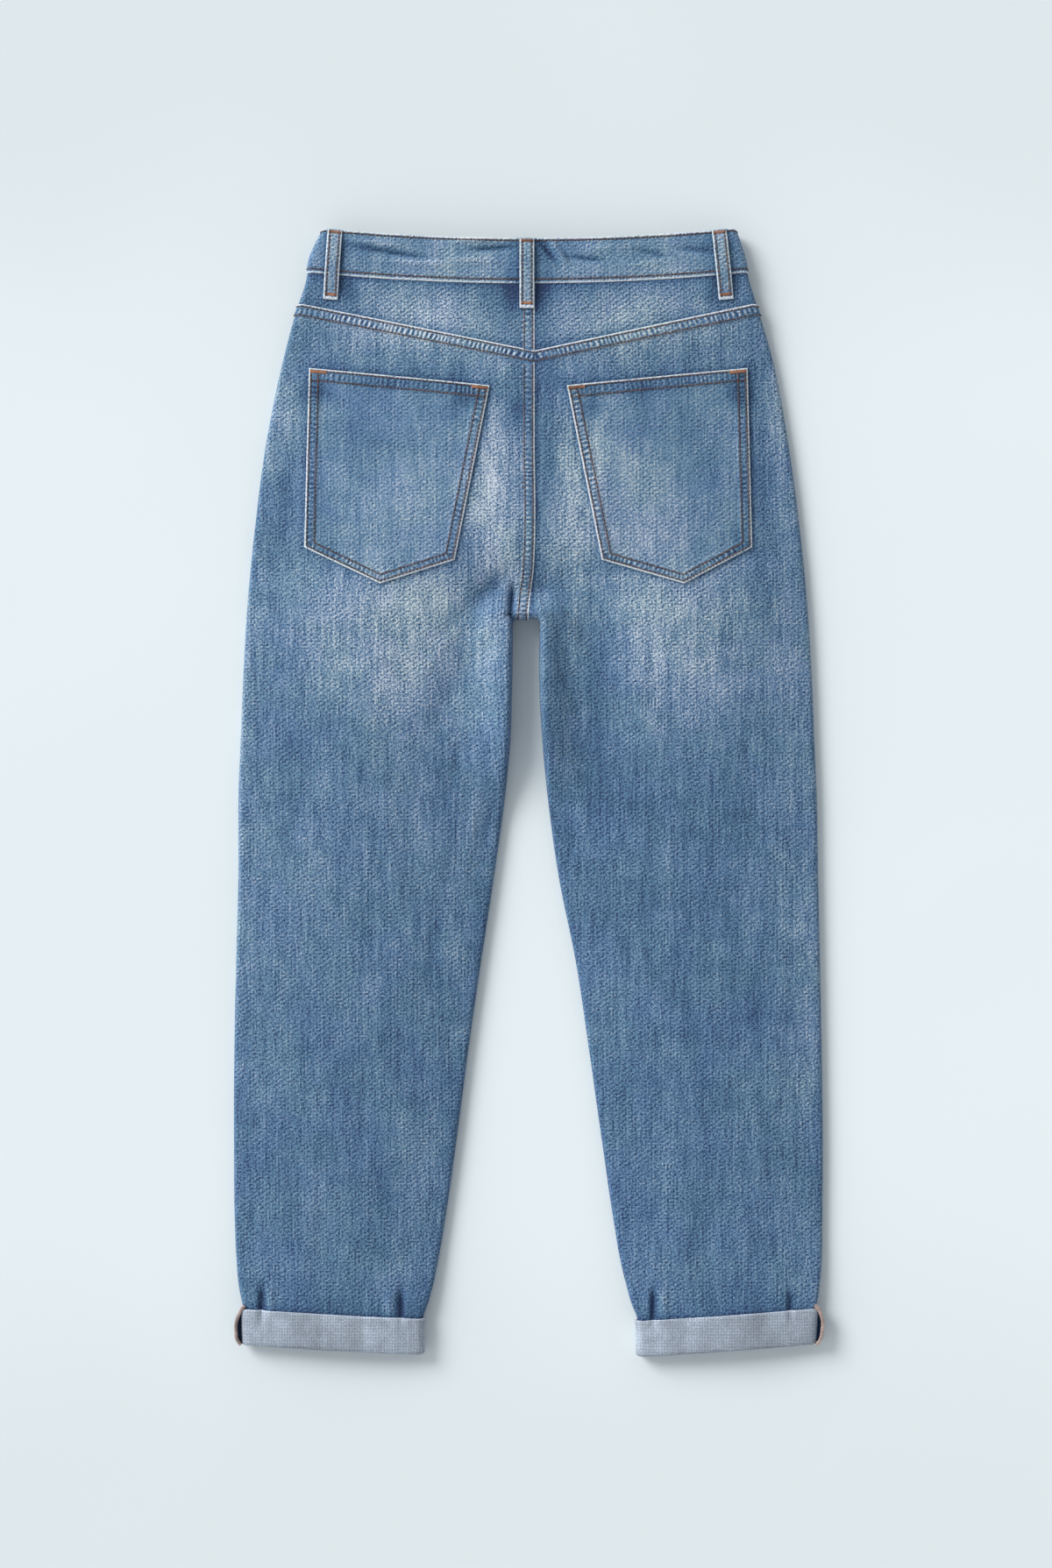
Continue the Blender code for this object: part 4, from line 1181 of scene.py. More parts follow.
def floor_material(colour):
    """The matte surface: pale, with broad soft zones that are a little paler still, and paler across the
    middle than towards the front and back, as a painted pool of light.
    """
    tree, shader = new_material("pale surface", {"Roughness": 0.95, "Specular IOR Level": 0.1})
    place = object_places(tree)
    cloud = noise(tree, place, 2.2, dimensions="3D")
    # Paler across the middle: a painted pool of light
    up = calculated(tree, "ABSOLUTE", parts_of(tree, place)[1])
    middle = spread(tree, up, 0.3, 0.62, 0.75, 0)
    share = product_plus(tree, spread(tree, cloud, 0.4, 0.68), 0.25, middle)
    tree.links.new(mixed(tree, share, dimmed(colour, 0.93), dimmed(colour, 1.02)), shader["Base Color"])


# Leg panels

PanelRows = namedtuple("PanelRows", "y_side x_end y_end toward_x toward_y first_folded")
SEAT_ROW_COUNT = 92
CROTCH_TURN_ROWS = 7
LEG_ROW_STEP = 2.9
LEG_MIDDLE, YOKE_MIDDLE = FOLD_STEPS + 40, FOLD_STEPS + 50  # columns whose flat places are where they lie
# The thin dark line beside a raised edge is painted shadow; the fainter band is partly indigo kept by the
# seam and partly painted shade.
LINE_SHADE, BAND_SHADE = (0.36, 1.5), (0.12, 6)  # how dark beside an edge, and how wide


def panel_rows(side, y_start=YOKE_SIDE_Y):
    """Where each row of a leg panel starts at the side, where it ends inwards, and which way it folds there.

    Over the seat a row ends at the centre seam, with no fold. Then the rows turn round the corner of the
    crotch, and the rest end at the inseam, down to the hem inside the cuff.
    """
    sign = SIDES[side]
    first = (YOKE_SIDE_Y - y_start) / (YOKE_SIDE_Y - CROTCH_SIDE_Y[0])
    down = np.linspace(first, 1, SEAT_ROW_COUNT)[:-1]
    seat_side = YOKE_SIDE_Y + down * (CROTCH_SIDE_Y[0] - YOKE_SIDE_Y)
    seat_end = YOKE_CENTRE_Y + down * (CROTCH_Y + FOLD - YOKE_CENTRE_Y)
    seat_x = read(CENTRE_BACK, "x", seat_end) + sign * GAP / 2
    corner_x = float(inseam_x(side, CROTCH_Y)) - sign * CROTCH_CORNER
    corner_y = CROTCH_Y - CROTCH_CORNER
    seam_x = float(read(CENTRE_BACK, "x", CROTCH_Y)) + sign * GAP / 2
    level_x = np.linspace(seam_x, corner_x, 4)[:-1]
    turn = np.radians(np.linspace(90, 0, CROTCH_TURN_ROWS))
    crotch_x = np.concatenate([level_x, corner_x + sign * CROTCH_CORNER * np.cos(turn)])
    crotch_y = np.concatenate([np.full(len(level_x), CROTCH_Y), corner_y + CROTCH_CORNER * np.sin(turn)])
    turn = np.concatenate([np.full(len(level_x), math.pi / 2), turn])
    crotch_side = np.linspace(*CROTCH_SIDE_Y, len(turn))
    cuff_top = CUFF_TOPS[side]
    count = int((corner_y - cuff_top.inseam) / LEG_ROW_STEP)
    shares = np.linspace(0, 1, count + 1)[1:]
    shares = shares - 0.12 * np.sin(2 * math.pi * shares) / (2 * math.pi)
    cuff_rows = np.linspace(2, HEM_IN_CUFF, 8)
    leg_side = CROTCH_SIDE_Y[1] + shares * (cuff_top.side - CROTCH_SIDE_Y[1])
    leg_side = np.concatenate([leg_side, cuff_top.side - cuff_rows])
    leg_y = np.concatenate([corner_y + shares * (cuff_top.inseam - corner_y), cuff_top.inseam - cuff_rows])
    toward_x = np.concatenate([np.zeros(len(seat_x)), -sign * np.cos(turn), np.full(len(leg_y), -sign)])
    toward_y = np.concatenate([np.zeros(len(seat_x)), -np.sin(turn), np.zeros(len(leg_y))])
    y_side = np.concatenate([seat_side, crotch_side, leg_side])
    x_end = np.concatenate([seat_x, crotch_x, inseam_x(side, leg_y)]) - toward_x * FOLD
    y_end = np.concatenate([seat_end, crotch_y, leg_y]) - toward_y * FOLD
    return PanelRows(y_side, x_end, y_end, toward_x, toward_y, len(seat_x))


def side_rows(side, y_side, x_end, y_end, shares):
    """Rows of the upper layer from under the side fold, round it and inwards to their given ends."""
    sign = SIDES[side]
    x_start = side_x(side, y_side) - sign * FOLD
    x = x_start[:, None] + shares * (x_end - x_start)[:, None]
    y = y_side[:, None] + shares * (y_end - y_side)[:, None]
    top, top_normals = layer(x, y, up=True)
    outer, outer_normals = turned_edge(x_start, y_side, sign, 0)
    points = np.concatenate([outer[:, :0:-1], top], 1)
    return points, np.concatenate([outer_normals[:, :0:-1], top_normals], 1)


def panel_shares(count):
    """Columns across a panel, closer together towards its inner edge."""
    t = np.linspace(0, 1, count)
    return t + 0.35 * np.sin(math.pi * t) / math.pi


def pocket_corners(side):
    """A back pocket's five corners, from the inner end of its opening round by its point."""
    sign = SIDES[side]
    inner_top, inner_bottom, outer_bottom, outer_top = POCKET.values()
    corners = (inner_top, inner_bottom, POCKET_POINTS[side], outer_bottom, outer_top)
    return np.array([(sign * corner.x, corner.y) for corner in corners])


def edges_of(corners):
    """Each edge of a polygon: its start, its heading, and the way in from it."""
    middle = corners.mean(0)
    for start, end in zip(corners, np.roll(corners, -1, axis=0)):
        heading = (end - start) / np.linalg.norm(end - start)
        inward = np.array([-heading[1], heading[0]])
        yield start, heading, inward * np.sign((middle - start) @ inward)


def edge_distances(corners, x, y):
    """How far each point is in from each edge of a polygon, and along it."""
    away, along = [], []
    for start, heading, inward in edges_of(corners):
        away.append((x - start[0]) * inward[0] + (y - start[1]) * inward[1])
        along.append((x - start[0]) * heading[0] + (y - start[1]) * heading[1])
    return np.array(away), np.array(along)


def edge_indigo_and_shadow(away):
    """Darkening beside a raised edge: a thin dark line of painted shadow, and a fainter band a few
    millimetres wide, partly kept indigo and partly painted shade.
    """
    away = np.clip(away, 0, None)
    return sum(dark * np.exp(-away / width) for dark, width in (LINE_SHADE, BAND_SHADE))


def pocket_indigo_and_shadow(side, x, y):
    """How much darker the panel is just beside its pocket, partly kept indigo and partly painted shadow: 1 at
    the pocket's edge, and weaker along its lower edges.
    """
    away, _ = edge_distances(pocket_corners(side), x, y)
    outside = -away.min(0)
    low = 1 - soft((y - POCKET["outer_bottom"].y) / 60)
    return np.where(outside > -3, edge_indigo_and_shadow(outside) * (1 - 0.6 * low), 0)


def inner_fold_shade(side, x, y):
    """How much darker the panel is along the inner leg's fold, below the crotch."""
    off_fold = np.abs(x - inseam_x(side, y))
    return 0.13 * np.exp(-off_fold / 9) * soft((CROTCH_Y - y) / 20)


def centre_seam_indigo_and_shadow(side, x, y):
    """How much darker the panel is just beyond the centre seam's raised edge, which lies on the right panel:
    partly kept indigo and partly painted shadow.
    """
    off_seam = x - read(CENTRE_BACK, "x", y)
    return edge_indigo_and_shadow(np.abs(off_seam)) * (y > CROTCH_Y) * (side == "right")


def loop_centre(place, down):
    """Where a loop's middle lies across the page, at a distance down its length."""
    return place.x_top + down / LOOP_LENGTH * (place.x_bottom - place.x_top)


def loop_indigo_and_shadow(x, y):
    """Darkening just beside and below the belt loops of the back: partly painted shadow of the loops and
    partly kept indigo.
    """
    total = np.zeros(np.broadcast(x, y).shape)
    for place in LOOPS:
        if place.on_back:
            down = np.clip(waist_y(x, True) - LOOP_INSET - y, 0, None)
            centre = loop_centre(place, np.minimum(down, LOOP_LENGTH))
            beside = np.clip(np.abs(x - centre) - LOOP_WIDTH / 2, 0, None)
            total += edge_indigo_and_shadow(np.hypot(beside, np.clip(down - LOOP_LENGTH, 0, None)))
    return total


def cuff_top_y(side, x):
    """Height on the page of the cuff's upper edge, which slopes from the side fold to the inseam."""
    tops = CUFF_TOPS[side]
    ends = (float(side_x(side, tops.side)), float(inseam_x(side, tops.inseam)))
    order = np.argsort(ends)
    return np.interp(x, np.array(ends)[order], np.array([tops.side, tops.inseam])[order])


def back_leg(side):
    """A back leg panel, with its yoke seam at the top and its cuffed end inside the cuff."""
    rows = panel_rows(side)
    points, normals = side_rows(side, rows.y_side, rows.x_end, rows.y_end, panel_shares(84))
    inner, inner_normals = turned_edge(rows.x_end, rows.y_end, rows.toward_x, rows.toward_y)
    points = np.concatenate([points, inner[:, 1:]], 1)
    normals = np.concatenate([normals, inner_normals[:, 1:]], 1)
    folded = inner.shape[1] - 1
    cells = np.ones((len(points) - 1, points.shape[1] - 1), bool)
    cells[: rows.first_folded, -folded:] = False
    x, y = points[..., 0], points[..., 1]
    # Darker beside the pocket and the centre seam, partly kept indigo and partly painted shadow; darker along
    # the inner fold; and a painted shadow line on the leg just above the cuff
    painted_shade_and_indigo = pocket_indigo_and_shadow(side, x, y) * (points[..., 2] > 6) + inner_fold_shade(side, x, y)
    painted_shade_and_indigo = painted_shade_and_indigo + 1.15 * centre_seam_indigo_and_shadow(side, x, y) + 0.8 * edge_indigo_and_shadow(y - cuff_top_y(side, x))
    flat = flat_places(points, LEG_MIDDLE, -SIDES[side])
    look = wash(points, BACK_WASH_AND_SHADE, base=0.45, kept_indigo_and_painted_shade=painted_shade_and_indigo)
    cloth = Cloth(points, moved(points, normals, -WALL), flat, look, cells=cells)
    return cloth_piece(f"back_leg_{side}", cloth, "denim leg", "denim reverse")


FELL_OVER, FELL_RISE, FELL_SINK, FELL_UNDER = 0.5, 0.35, 0.55, 0.5
FELL_PUCKERS = {"yoke": 1.0, "centre": 0.55}


def strip_rows(width):
    """Places across a fell, close together at its raised edge."""
    at_edge, at_end = [0, 0.25, 0.6, 1.0, 1.5], [width - 0.9, width - 0.4, width]
    return np.concatenate([at_edge, np.linspace(2.3, width - 1.6, 7), at_end])


def fell(name, points, normals, place, along, roped, flat):
    """A felled seam as a thin strip: puckered between its two rows, and level with the panel past them."""
    lift = FELL_RISE + seam_relief(place, roped, along) - FELL_SINK * soft((place - 2.05) / 0.35)
    look = wash(points, BACK_WASH_AND_SHADE, base=0.54, worn=np.clip(1.5 - place * 1.7, 0, 1))
    outer, inner = moved(points, normals, lift), moved(points, normals, -FELL_UNDER)
    cloth = Cloth(outer, inner, flat, look, seam_places(along, place, roped))
    return cloth_piece(name, cloth, "denim seam", "denim seam")


def yoke_seam(side, down, count):
    """Points and normals along the yoke seam, at distances down from its raised edge."""
    top = GAP + FELL_OVER
    y_side, y_end = YOKE_SIDE_Y + top - down, YOKE_CENTRE_Y + top - down
    x_end = read(CENTRE_BACK, "x", y_end) + SIDES[side] * GAP
    return side_rows(side, y_side, x_end, y_end, np.linspace(0, 1, count))


def yoke_fell(side):
    """The flat-felled yoke seam: the panel's folded edge over the yoke."""
    down = strip_rows(FELL_WIDTH)
    points, normals = yoke_seam(side, down, 300)
    place = row_place(down, *FELL_STITCHES)[:, None]
    flat = flat_places(points, LEG_MIDDLE, -SIDES[side])
    return fell(f"yoke_fell_{side}", points, normals, place, along_rows(points), FELL_PUCKERS["yoke"], flat)


def centre_fell(name, y_top, y_bottom, fold):
    """The felled centre back seam: the left panel's edge over the right one, down to the crotch's fold."""
    across = strip_rows(FELL_WIDTH)
    y = np.linspace(y_top, y_bottom, max(int((y_top - y_bottom) / 1.1), 8))
    x = read(CENTRE_BACK, "x", y)[:, None] + FELL_OVER - across
    points, normals = layer(x, y[:, None], up=True)
    if fold:
        turned, turned_normals = turned_edge(x[-1], y_bottom, 0, -1, margin=None)
        points = np.concatenate([points, turned[:, 1:-FELL_STOP].transpose(1, 0, 2)])
        normals = np.concatenate([normals, turned_normals[:, 1:-FELL_STOP].transpose(1, 0, 2)])
    along = along_rows(points.transpose(1, 0, 2)).T
    place = row_place(across, *FELL_STITCHES)
    return fell(name, points, normals, place, along, FELL_PUCKERS["centre"], plan(points))


class MOM_JEANS_OT_back_legs(bpy.types.Operator):
    """Make the two back leg panels and the flat-felled seams on them"""

    bl_idname = "mom_jeans.back_legs"
    bl_label = "Back legs"

    def execute(self, context):
        seam_end = YOKE_CENTRE_Y - FELL_WIDTH + 1.2
        centre = centre_fell("centre_back_fell", seam_end, CROTCH_Y + FOLD, fold=True)
        for side in SIDES:
            seam = yoke_fell(side)
            on_it = [seam, centre] if side == "left" else [seam]
            declare(back_leg(side), f"back_leg_{side}", on_it)
        return {"FINISHED"}


def front_leg(side):
    """A front leg panel on the surface below, with its pocket's opening, a quarter ellipse, at the top."""
    sign = SIDES[side]
    step_in = MARGIN + GAP
    rows = panel_rows(side, SCOOP_Y)
    x_centre = CENTRE_FRONT + sign * GAP / 2
    x_side = side_x(side, rows.y_side) - sign * (FOLD + step_in)
    x_end = rows.x_end - rows.toward_x * step_in
    y_end = rows.y_end - rows.toward_y * step_in
    x_end[: rows.first_folded + 1] = x_centre
    turn = np.radians(np.linspace(0, 90, 28)[:-1])
    scoop_x = x_side[0] - sign * SCOOP_WIDTH * np.cos(turn)
    scoop_y = PANEL_TOP_Y - SCOOP_DEPTH * np.sin(turn)
    centre_y = PANEL_TOP_Y + np.sin(turn) * (y_end[0] - PANEL_TOP_Y)
    x_first, y_first = np.concatenate([scoop_x, x_side]), np.concatenate([scoop_y, rows.y_side])
    x_last = np.concatenate([np.full(len(turn), x_centre), x_end])
    y_last = np.concatenate([centre_y, y_end])
    share = np.linspace(0, 1, 62)
    x = x_first[:, None] + share * (x_last - x_first)[:, None]
    y = y_first[:, None] + share * (y_last - y_first)[:, None]
    dipping = np.zeros(len(x_first))
    dipping[: len(turn)] = 1 - np.sin(turn)
    y = y + dipping[:, None] * (waist_y(x, on_back=False) - WAIST_Y)
    points, normals = layer(x, y, up=False)
    inside = np.sin(math.pi * share) ** 0.5
    lifted = FRONT_LIFT + np.clip(ridges(FRONT_CREASES, x, y), 0, None) * inside
    worn = np.zeros(x.shape)
    worn[: len(turn), 0] = 0.9
    look = wash(points, FRONT_WASH_AND_SHADE, base=0.5, worn=worn)
    outer, inner = moved(points, normals, -lifted), moved(points, normals, -lifted - FRONT_WALL)
    cloth = Cloth(outer, inner, plan(points), look)
    return cloth_piece(f"front_leg_{side}", cloth, "denim leg", "denim reverse")


class MOM_JEANS_OT_front_legs(bpy.types.Operator):
    """Make the two front leg panels, which the jeans lie on"""

    bl_idname = "mom_jeans.front_legs"
    bl_label = "Front legs"

    def execute(self, context):
        for side in SIDES:
            declare(front_leg(side), f"front_leg_{side}")
        return {"FINISHED"}


# Yokes


def yoke(side):
    """The shaped strip between the waistband and a back leg panel, wrapped round the side fold."""
    sign = SIDES[side]
    down = np.linspace(0, 1, 40)
    low_y = YOKE_SIDE_Y + GAP
    y_side = PANEL_TOP_Y + down * (low_y - PANEL_TOP_Y)
    x_start = side_x(side, y_side) - sign * FOLD
    x_end = read(CENTRE_BACK, "x", y_side) + sign * GAP / 2
    share = np.linspace(0, 1, 110)
    x = x_start[:, None] + share * (x_end - x_start)[:, None]
    high = waist_y(x, on_back=True) - BAND_DEPTH - GAP
    low = low_y + share * (YOKE_CENTRE_Y - YOKE_SIDE_Y)
    y = high + down[:, None] * (low - high)
    top, top_normals = layer(x, y, up=True)
    front_dip = waist_y(x_start - sign * MARGIN, on_back=False) - WAIST_Y
    fold, fold_normals = turned_edge(x_start, y[:, 0], sign, 0, y_under=y_side + (1 - down) * front_dip)
    points = np.concatenate([fold[:, :0:-1], top], 1)
    normals = np.concatenate([fold_normals[:, :0:-1], top_normals], 1)
    depth = np.abs(y[-1, 0] - y[0, 0])
    # Painted shadow just under the waistband and just above the yoke seam, and beside the centre seam and the
    # belt loops, partly kept indigo
    painted_shade_and_indigo = edge_indigo_and_shadow(down[:, None] * depth) + 0.9 * edge_indigo_and_shadow((1 - down[:, None]) * depth)
    painted_shade_and_indigo = painted_shade_and_indigo + 0.9 * centre_seam_indigo_and_shadow(side, points[..., 0], points[..., 1])
    painted_shade_and_indigo = painted_shade_and_indigo + 0.8 * loop_indigo_and_shadow(points[..., 0], points[..., 1]) * (points[..., 2] > 12)
    flat = flat_places(points, YOKE_MIDDLE, -sign)
    look = wash(points, BACK_WASH_AND_SHADE, base=0.44, kept_indigo_and_painted_shade=painted_shade_and_indigo)
    cloth = Cloth(points, moved(points, normals, -WALL), flat, look)
    return cloth_piece(f"yoke_{side}", cloth, "denim panel", "denim reverse")


class MOM_JEANS_OT_yokes(bpy.types.Operator):
    """Make the two yokes and the centre seam between them"""

    bl_idname = "mom_jeans.yokes"
    bl_label = "Yokes"

    def execute(self, context):
        top = float(waist_y(0, True)) - BAND_DEPTH - GAP
        centre = centre_fell("yoke_centre_fell", top, YOKE_CENTRE_Y + 1.0, fold=False)
        for side in SIDES:
            on_it = [centre] if side == "left" else []
            declare(yoke(side), f"yoke_{side}", on_it)
        return {"FINISHED"}


# Back pockets


# Where on the cloth some pieces were cut, in metres, so that the weave doesn't run on from their panels
POCKET_CUT_FROM, BAND_CUT_FROM, LOOP_CUT_FROM = (0.31, 0.17, 0), (0.5, 0.03, 0), (0.11, 0.4, 0)
POCKET_PUCKERS = 0.6


def pocket_rows(side, x, y):
    """The place among a pocket's stitch rows, and the distance along the nearest edge."""
    away, along = edge_distances(pocket_corners(side), x, y)
    point_y = POCKET_POINTS[side].y
    drop = np.clip((POCKET["outer_top"].y - y) / (POCKET["outer_top"].y - point_y), 0, 1)
    second = POCKET_STITCHES[1] - POCKET_STITCH_TAPER * drop
    sewn, top = away[:4], away[4]
    nearest = sewn.argmin(0)
    edge = sewn.min(0)
    first = POCKET_STITCHES[0]
    inner_share = (edge - first) / (second - first)
    well_inside = 2 + np.clip(edge - second, 0, 6) / 3
    rows = np.where(edge < first, edge / first, np.minimum(1 + inner_share, well_inside))
    rows = np.clip(rows, 0, 4)
    hem = row_place(top, *POCKET_HEM_STITCHES)
    edge_along = np.choose(nearest, along[:4]) + 80 * nearest
    return np.minimum(rows, hem), np.where(hem < rows, along[4] + 500, edge_along)


def pocket_face(side, x, y):
    """Height of a pocket's outer face, with its folded and puckered edges."""
    rows, along = pocket_rows(side, x, y)
    return back_height(x, y) + GAP + WALL - 0.25 + seam_relief(rows, 1.0, along)


def crowded(count, amount):
    """Shares from 0 to 1, closer together towards both ends by a sine."""
    share = np.linspace(0, 1, count)
    return share - amount * np.sin(2 * math.pi * share) / (2 * math.pi)


def back_pocket(side):
    """The patch pocket: rows from its opening down to its pointed lower edge, on the panel's own face."""
    corners = pocket_corners(side)
    across = crowded(121, 0.3)[:, None]
    top = corners[0] + across * (corners[4] - corners[0])
    first = corners[1] + np.clip(across * 2, 0, 1) * (corners[2] - corners[1])
    bottom = first + np.clip(across * 2 - 1, 0, 1) * (corners[3] - corners[2])
    grid = top + crowded(141, 0.3)[:, None, None] * (bottom - top)
    x, y = grid[..., 0], grid[..., 1]
    outer, inner = stacked(x, y, pocket_face(side, x, y)), stacked(x, y, back_height(x, y) + GAP)
    rows, along = pocket_rows(side, x, y)
    worn = np.clip(1.8 - rows * 1.7, 0, 1)
    look = wash(outer, BACK_WASH_AND_SHADE, base=0.51, worn=worn, kept_indigo_and_painted_shade=0.03 * (rows < 2))
    cloth = Cloth(outer, inner, plan(outer) + POCKET_CUT_FROM, look, seam_places(along, rows, POCKET_PUCKERS))
    return cloth_piece(f"pocket_back_{side}", cloth, "denim seam", "denim reverse")


class MOM_JEANS_OT_back_pockets(bpy.types.Operator):
    """Make the two patch pockets"""

    bl_idname = "mom_jeans.back_pockets"
    bl_label = "Back pockets"

    def execute(self, context):
        for side in SIDES:
            declare(back_pocket(side), f"pocket_back_{side}")
        return {"FINISHED"}


# Front pockets


def front_pocket(side):
    """The facing that shows in a front pocket's opening, sewn in at the side seam, behind the front panel."""
    sign = SIDES[side]
    turn = np.radians(np.linspace(0, 78, 34))
    y_row = PANEL_TOP_Y - (SCOOP_DEPTH + FACING_REACH) * np.sin(turn)
    x_side = side_x(side, y_row) - sign * (FOLD + FACING_INSET)
    x_seam = side_x(side, SCOOP_Y) - sign * (FOLD + MARGIN + GAP)
    x_end = x_seam - sign * (SCOOP_WIDTH + FACING_REACH) * np.cos(turn)
    x = x_side[:, None] + np.linspace(0, 1, 30) * (x_end - x_side)[:, None]
    y = y_row[:, None] + (1 - np.sin(turn))[:, None] * (waist_y(x, on_back=False) - WAIST_Y)
    points, normals = layer(x, y, up=False)
    behind = -WALL - GAP
    face, back = moved(points, normals, behind), moved(points, normals, behind - FACING_WALL)
    cloth = Cloth(face, back, plan(points), wash(points, FRONT_WASH_AND_SHADE, base=0.46))
    return cloth_piece(f"pocket_front_{side}", cloth, "denim panel", "denim reverse")


class MOM_JEANS_OT_front_pockets(bpy.types.Operator):
    """Make the facings in the front pockets' openings"""

    bl_idname = "mom_jeans.front_pockets"
    bl_label = "Front pockets"

    def execute(self, context):
        for side in SIDES:
            declare(front_pocket(side), f"pocket_front_{side}")
        return {"FINISHED"}


# Cuffs


# Painted shade: the right cuff, on the side away from the light, is made darker
CUFF_PAINTED_SHADE = {"left": 0.0, "right": 0.09}  # how much darker each cuff's cloth is


def cuff_ring(side, down, out):
    """Points once round the leg, at one place of the cuff's section."""
    sign = SIDES[side]
    y_side, y_inseam = CUFF_TOPS[side].side - down, CUFF_TOPS[side].inseam - down
    x_start = float(side_x(side, y_side)) - sign * FOLD
    x_end = float(inseam_x(side, y_inseam)) + sign * FOLD
    shares = np.linspace(0, 1, 76)
    x, y = x_start + shares * (x_end - x_start), y_side + shares * (y_inseam - y_side)
    back, back_normals = layer(x, y, up=True)
    front, front_normals = layer(x[::-1], y[::-1], up=False)
    inner, inner_normals = turned_edge(x_end, y_inseam, -sign, 0, margin=None)
    outer, outer_normals = turned_edge(x_start, y_side, sign, 0, margin=None)
    points = np.concatenate([back, inner[1:-1], front, outer[-2:0:-1]])
    normals = np.concatenate([back_normals, inner_normals[1:-1], front_normals, outer_normals[-2:0:-1]])
    return points + normals * out


def cuff_section():
    """The cuff's section in steps of about 1.5 mm."""
    corners = np.array(CUFF_SECTION + CUFF_SECTION[:1], float)
    steps = np.linalg.norm(np.diff(corners, axis=0), axis=1)
    section = []
    for start, end, length in zip(corners[:-1], corners[1:], steps):
        count = max(int(round(length / 1.5)), 1)
        section.append(start + np.linspace(0, 1, count, endpoint=False)[:, None] * (end - start))
    return np.concatenate(section)


def cuff(side):
    """A turned-up hem: a ring round the leg whose lower edge hooks under the leg's end."""
    sign = SIDES[side]
    section = cuff_section()
    rings = np.array([cuff_ring(side, down, out) for down, out in section])
    down, out = section[:, 0][:, None], section[:, 1][:, None]
    on_face = soft((out - 1.2) / 1.2)
    x, y = rings[..., 0], rings[..., 1]
    wave = 0.35 * np.sin(x / 13 + sign) + 0.25 * np.sin(x / 5.7 + y / 9)
    upper = rings[..., 2] > 8
    rings[..., 2] += np.where(upper, on_face * wave, 0)
    rings[..., 1] += 0.35 * np.sin(x / 21 + 2 * sign) * on_face
    index = np.arange(rings[..., 0].size).reshape(rings.shape[:2])
    mesh = new_mesh(f"cuff_{side}", rings, ring_squares(np.concatenate([index, index[:1]])).tolist())
    turn_outwards(mesh)
    worn = np.where(down < 0.9, 0.45, 0) * (out > 0.5)
    # Painted shade at the cuff's lower fold, where it turns under, and over the whole right cuff
    pale = -0.08 * np.exp(-np.abs(CUFF_DEPTH - down) / 3) - CUFF_PAINTED_SHADE[side]
    set_points(mesh, "flat", plan(rings))
    set_points(mesh, "look", stacked(pale, worn, 0 * x))
    return link(f"cuff_{side}", mesh, ["denim reverse"])


Bow = namedtuple("Bow", "x y")
ALLOWANCE_PATHS = {
    "left": rows_of(
        Bow, (-242.8, -439), (-246.2, -444), (-249.4, -452), (-250.2, -460), (-249.2, -468), (-245.8, -473)
    ),
    "right": rows_of(
        Bow, (245.0, -438.6), (248.6, -443), (251.6, -451), (251.6, -460), (250.0, -468), (246.2, -473)
    ),
}
# The allowance's section, from its lower edge to its upper one, and the ply behind it
StripPoint = namedtuple("StripPoint", "z half_width")
ALLOWANCE_SECTION = rows_of(
    StripPoint, (6.0, 0.2), (6.4, 0.6), (8.0, 0.75), (10.0, 0.75), (12.0, 0.75), (13.2, 0.6), (13.7, 0.25)
)
PLY_REACH, PLY_Z, PLY_WALL, OVERLOCK_Z = 7.5, 7.6, 1.2, 13.6


def smooth_path(points, count):
    """Points evenly spread along a Catmull-Rom curve through the given ones."""
    given = np.array(points, float)
    ends = np.concatenate([[2 * given[0] - given[1]], given, [2 * given[-1] - given[-2]]])
    t = np.linspace(0, len(given) - 1 - 1e-9, count)
    k = t.astype(int)
    s = (t - k)[:, None]
    a, b, c, d = ends[k], ends[k + 1], ends[k + 2], ends[k + 3]
    return 0.5 * (2 * b + (c - a) * s + (2 * a - 5 * b + 4 * c - d) * s**2 + (3 * b - a - 3 * c + d) * s**3)


def allowance(side):
    """The outseam's allowance: a strip on edge that bows out of the cuff, and the ply behind it, coloured
    deep indigo as painted shade in the slit.
    """
    path = smooth_path(ALLOWANCE_PATHS[side], 60)
    heading = np.gradient(path, axis=0)
    heading /= np.linalg.norm(heading, axis=1, keepdims=True)
    off = np.stack([-heading[:, 1], heading[:, 0]], -1)
    off *= np.sign(off[:, :1]) * SIDES[side]
    z, half_width = np.array(ALLOWANCE_SECTION).T[..., None]
    outer, inner = (
        stacked(path[:, 0] + half * off[:, 0], path[:, 1] + half * off[:, 1], z)
        for half in (half_width, -half_width)
    )
    flat = stacked(inner[..., 1] * MM, inner[..., 2] * MM, 0)
    strip = Cloth(outer, inner, flat, (0.42, 0.0, 0.0))
    face = stacked(path[:, 0] - SIDES[side] * np.linspace(0.3, PLY_REACH, 6)[:, None], path[:, 1], PLY_Z)
    # The ply is made darker than any other denim: painted shade in the slit behind the allowance
    ply = Cloth(face, face - (0, 0, PLY_WALL), flat[:6], (-0.1, 0.0, 0.0))
    pieces = []
    for name, cloth in (("allowance", strip), ("ply", ply)):
        made = cloth_piece(f"outseam_{name}_{side}", cloth, "denim panel", "denim panel")
        pieces.append(made)
    return pieces


class MOM_JEANS_OT_cuffs(bpy.types.Operator):
    """Make the turned-up cuffs and the outseam allowances that bow out of them"""

    bl_idname = "mom_jeans.cuffs"
    bl_label = "Cuffs"

    def execute(self, context):
        for side in SIDES:
            declare(cuff(side), f"cuff_{side}", allowance(side))
        return {"FINISHED"}


# Waistband and belt loops


RAISED_COLUMNS, LEVEL_COLUMNS, OVER_COLUMNS, BACK_COLUMNS = 46, 54, 90, 240
BAND_MIDDLE = RAISED_COLUMNS - 1 + LEVEL_COLUMNS + FOLD_STEPS - 1 + BACK_COLUMNS // 2


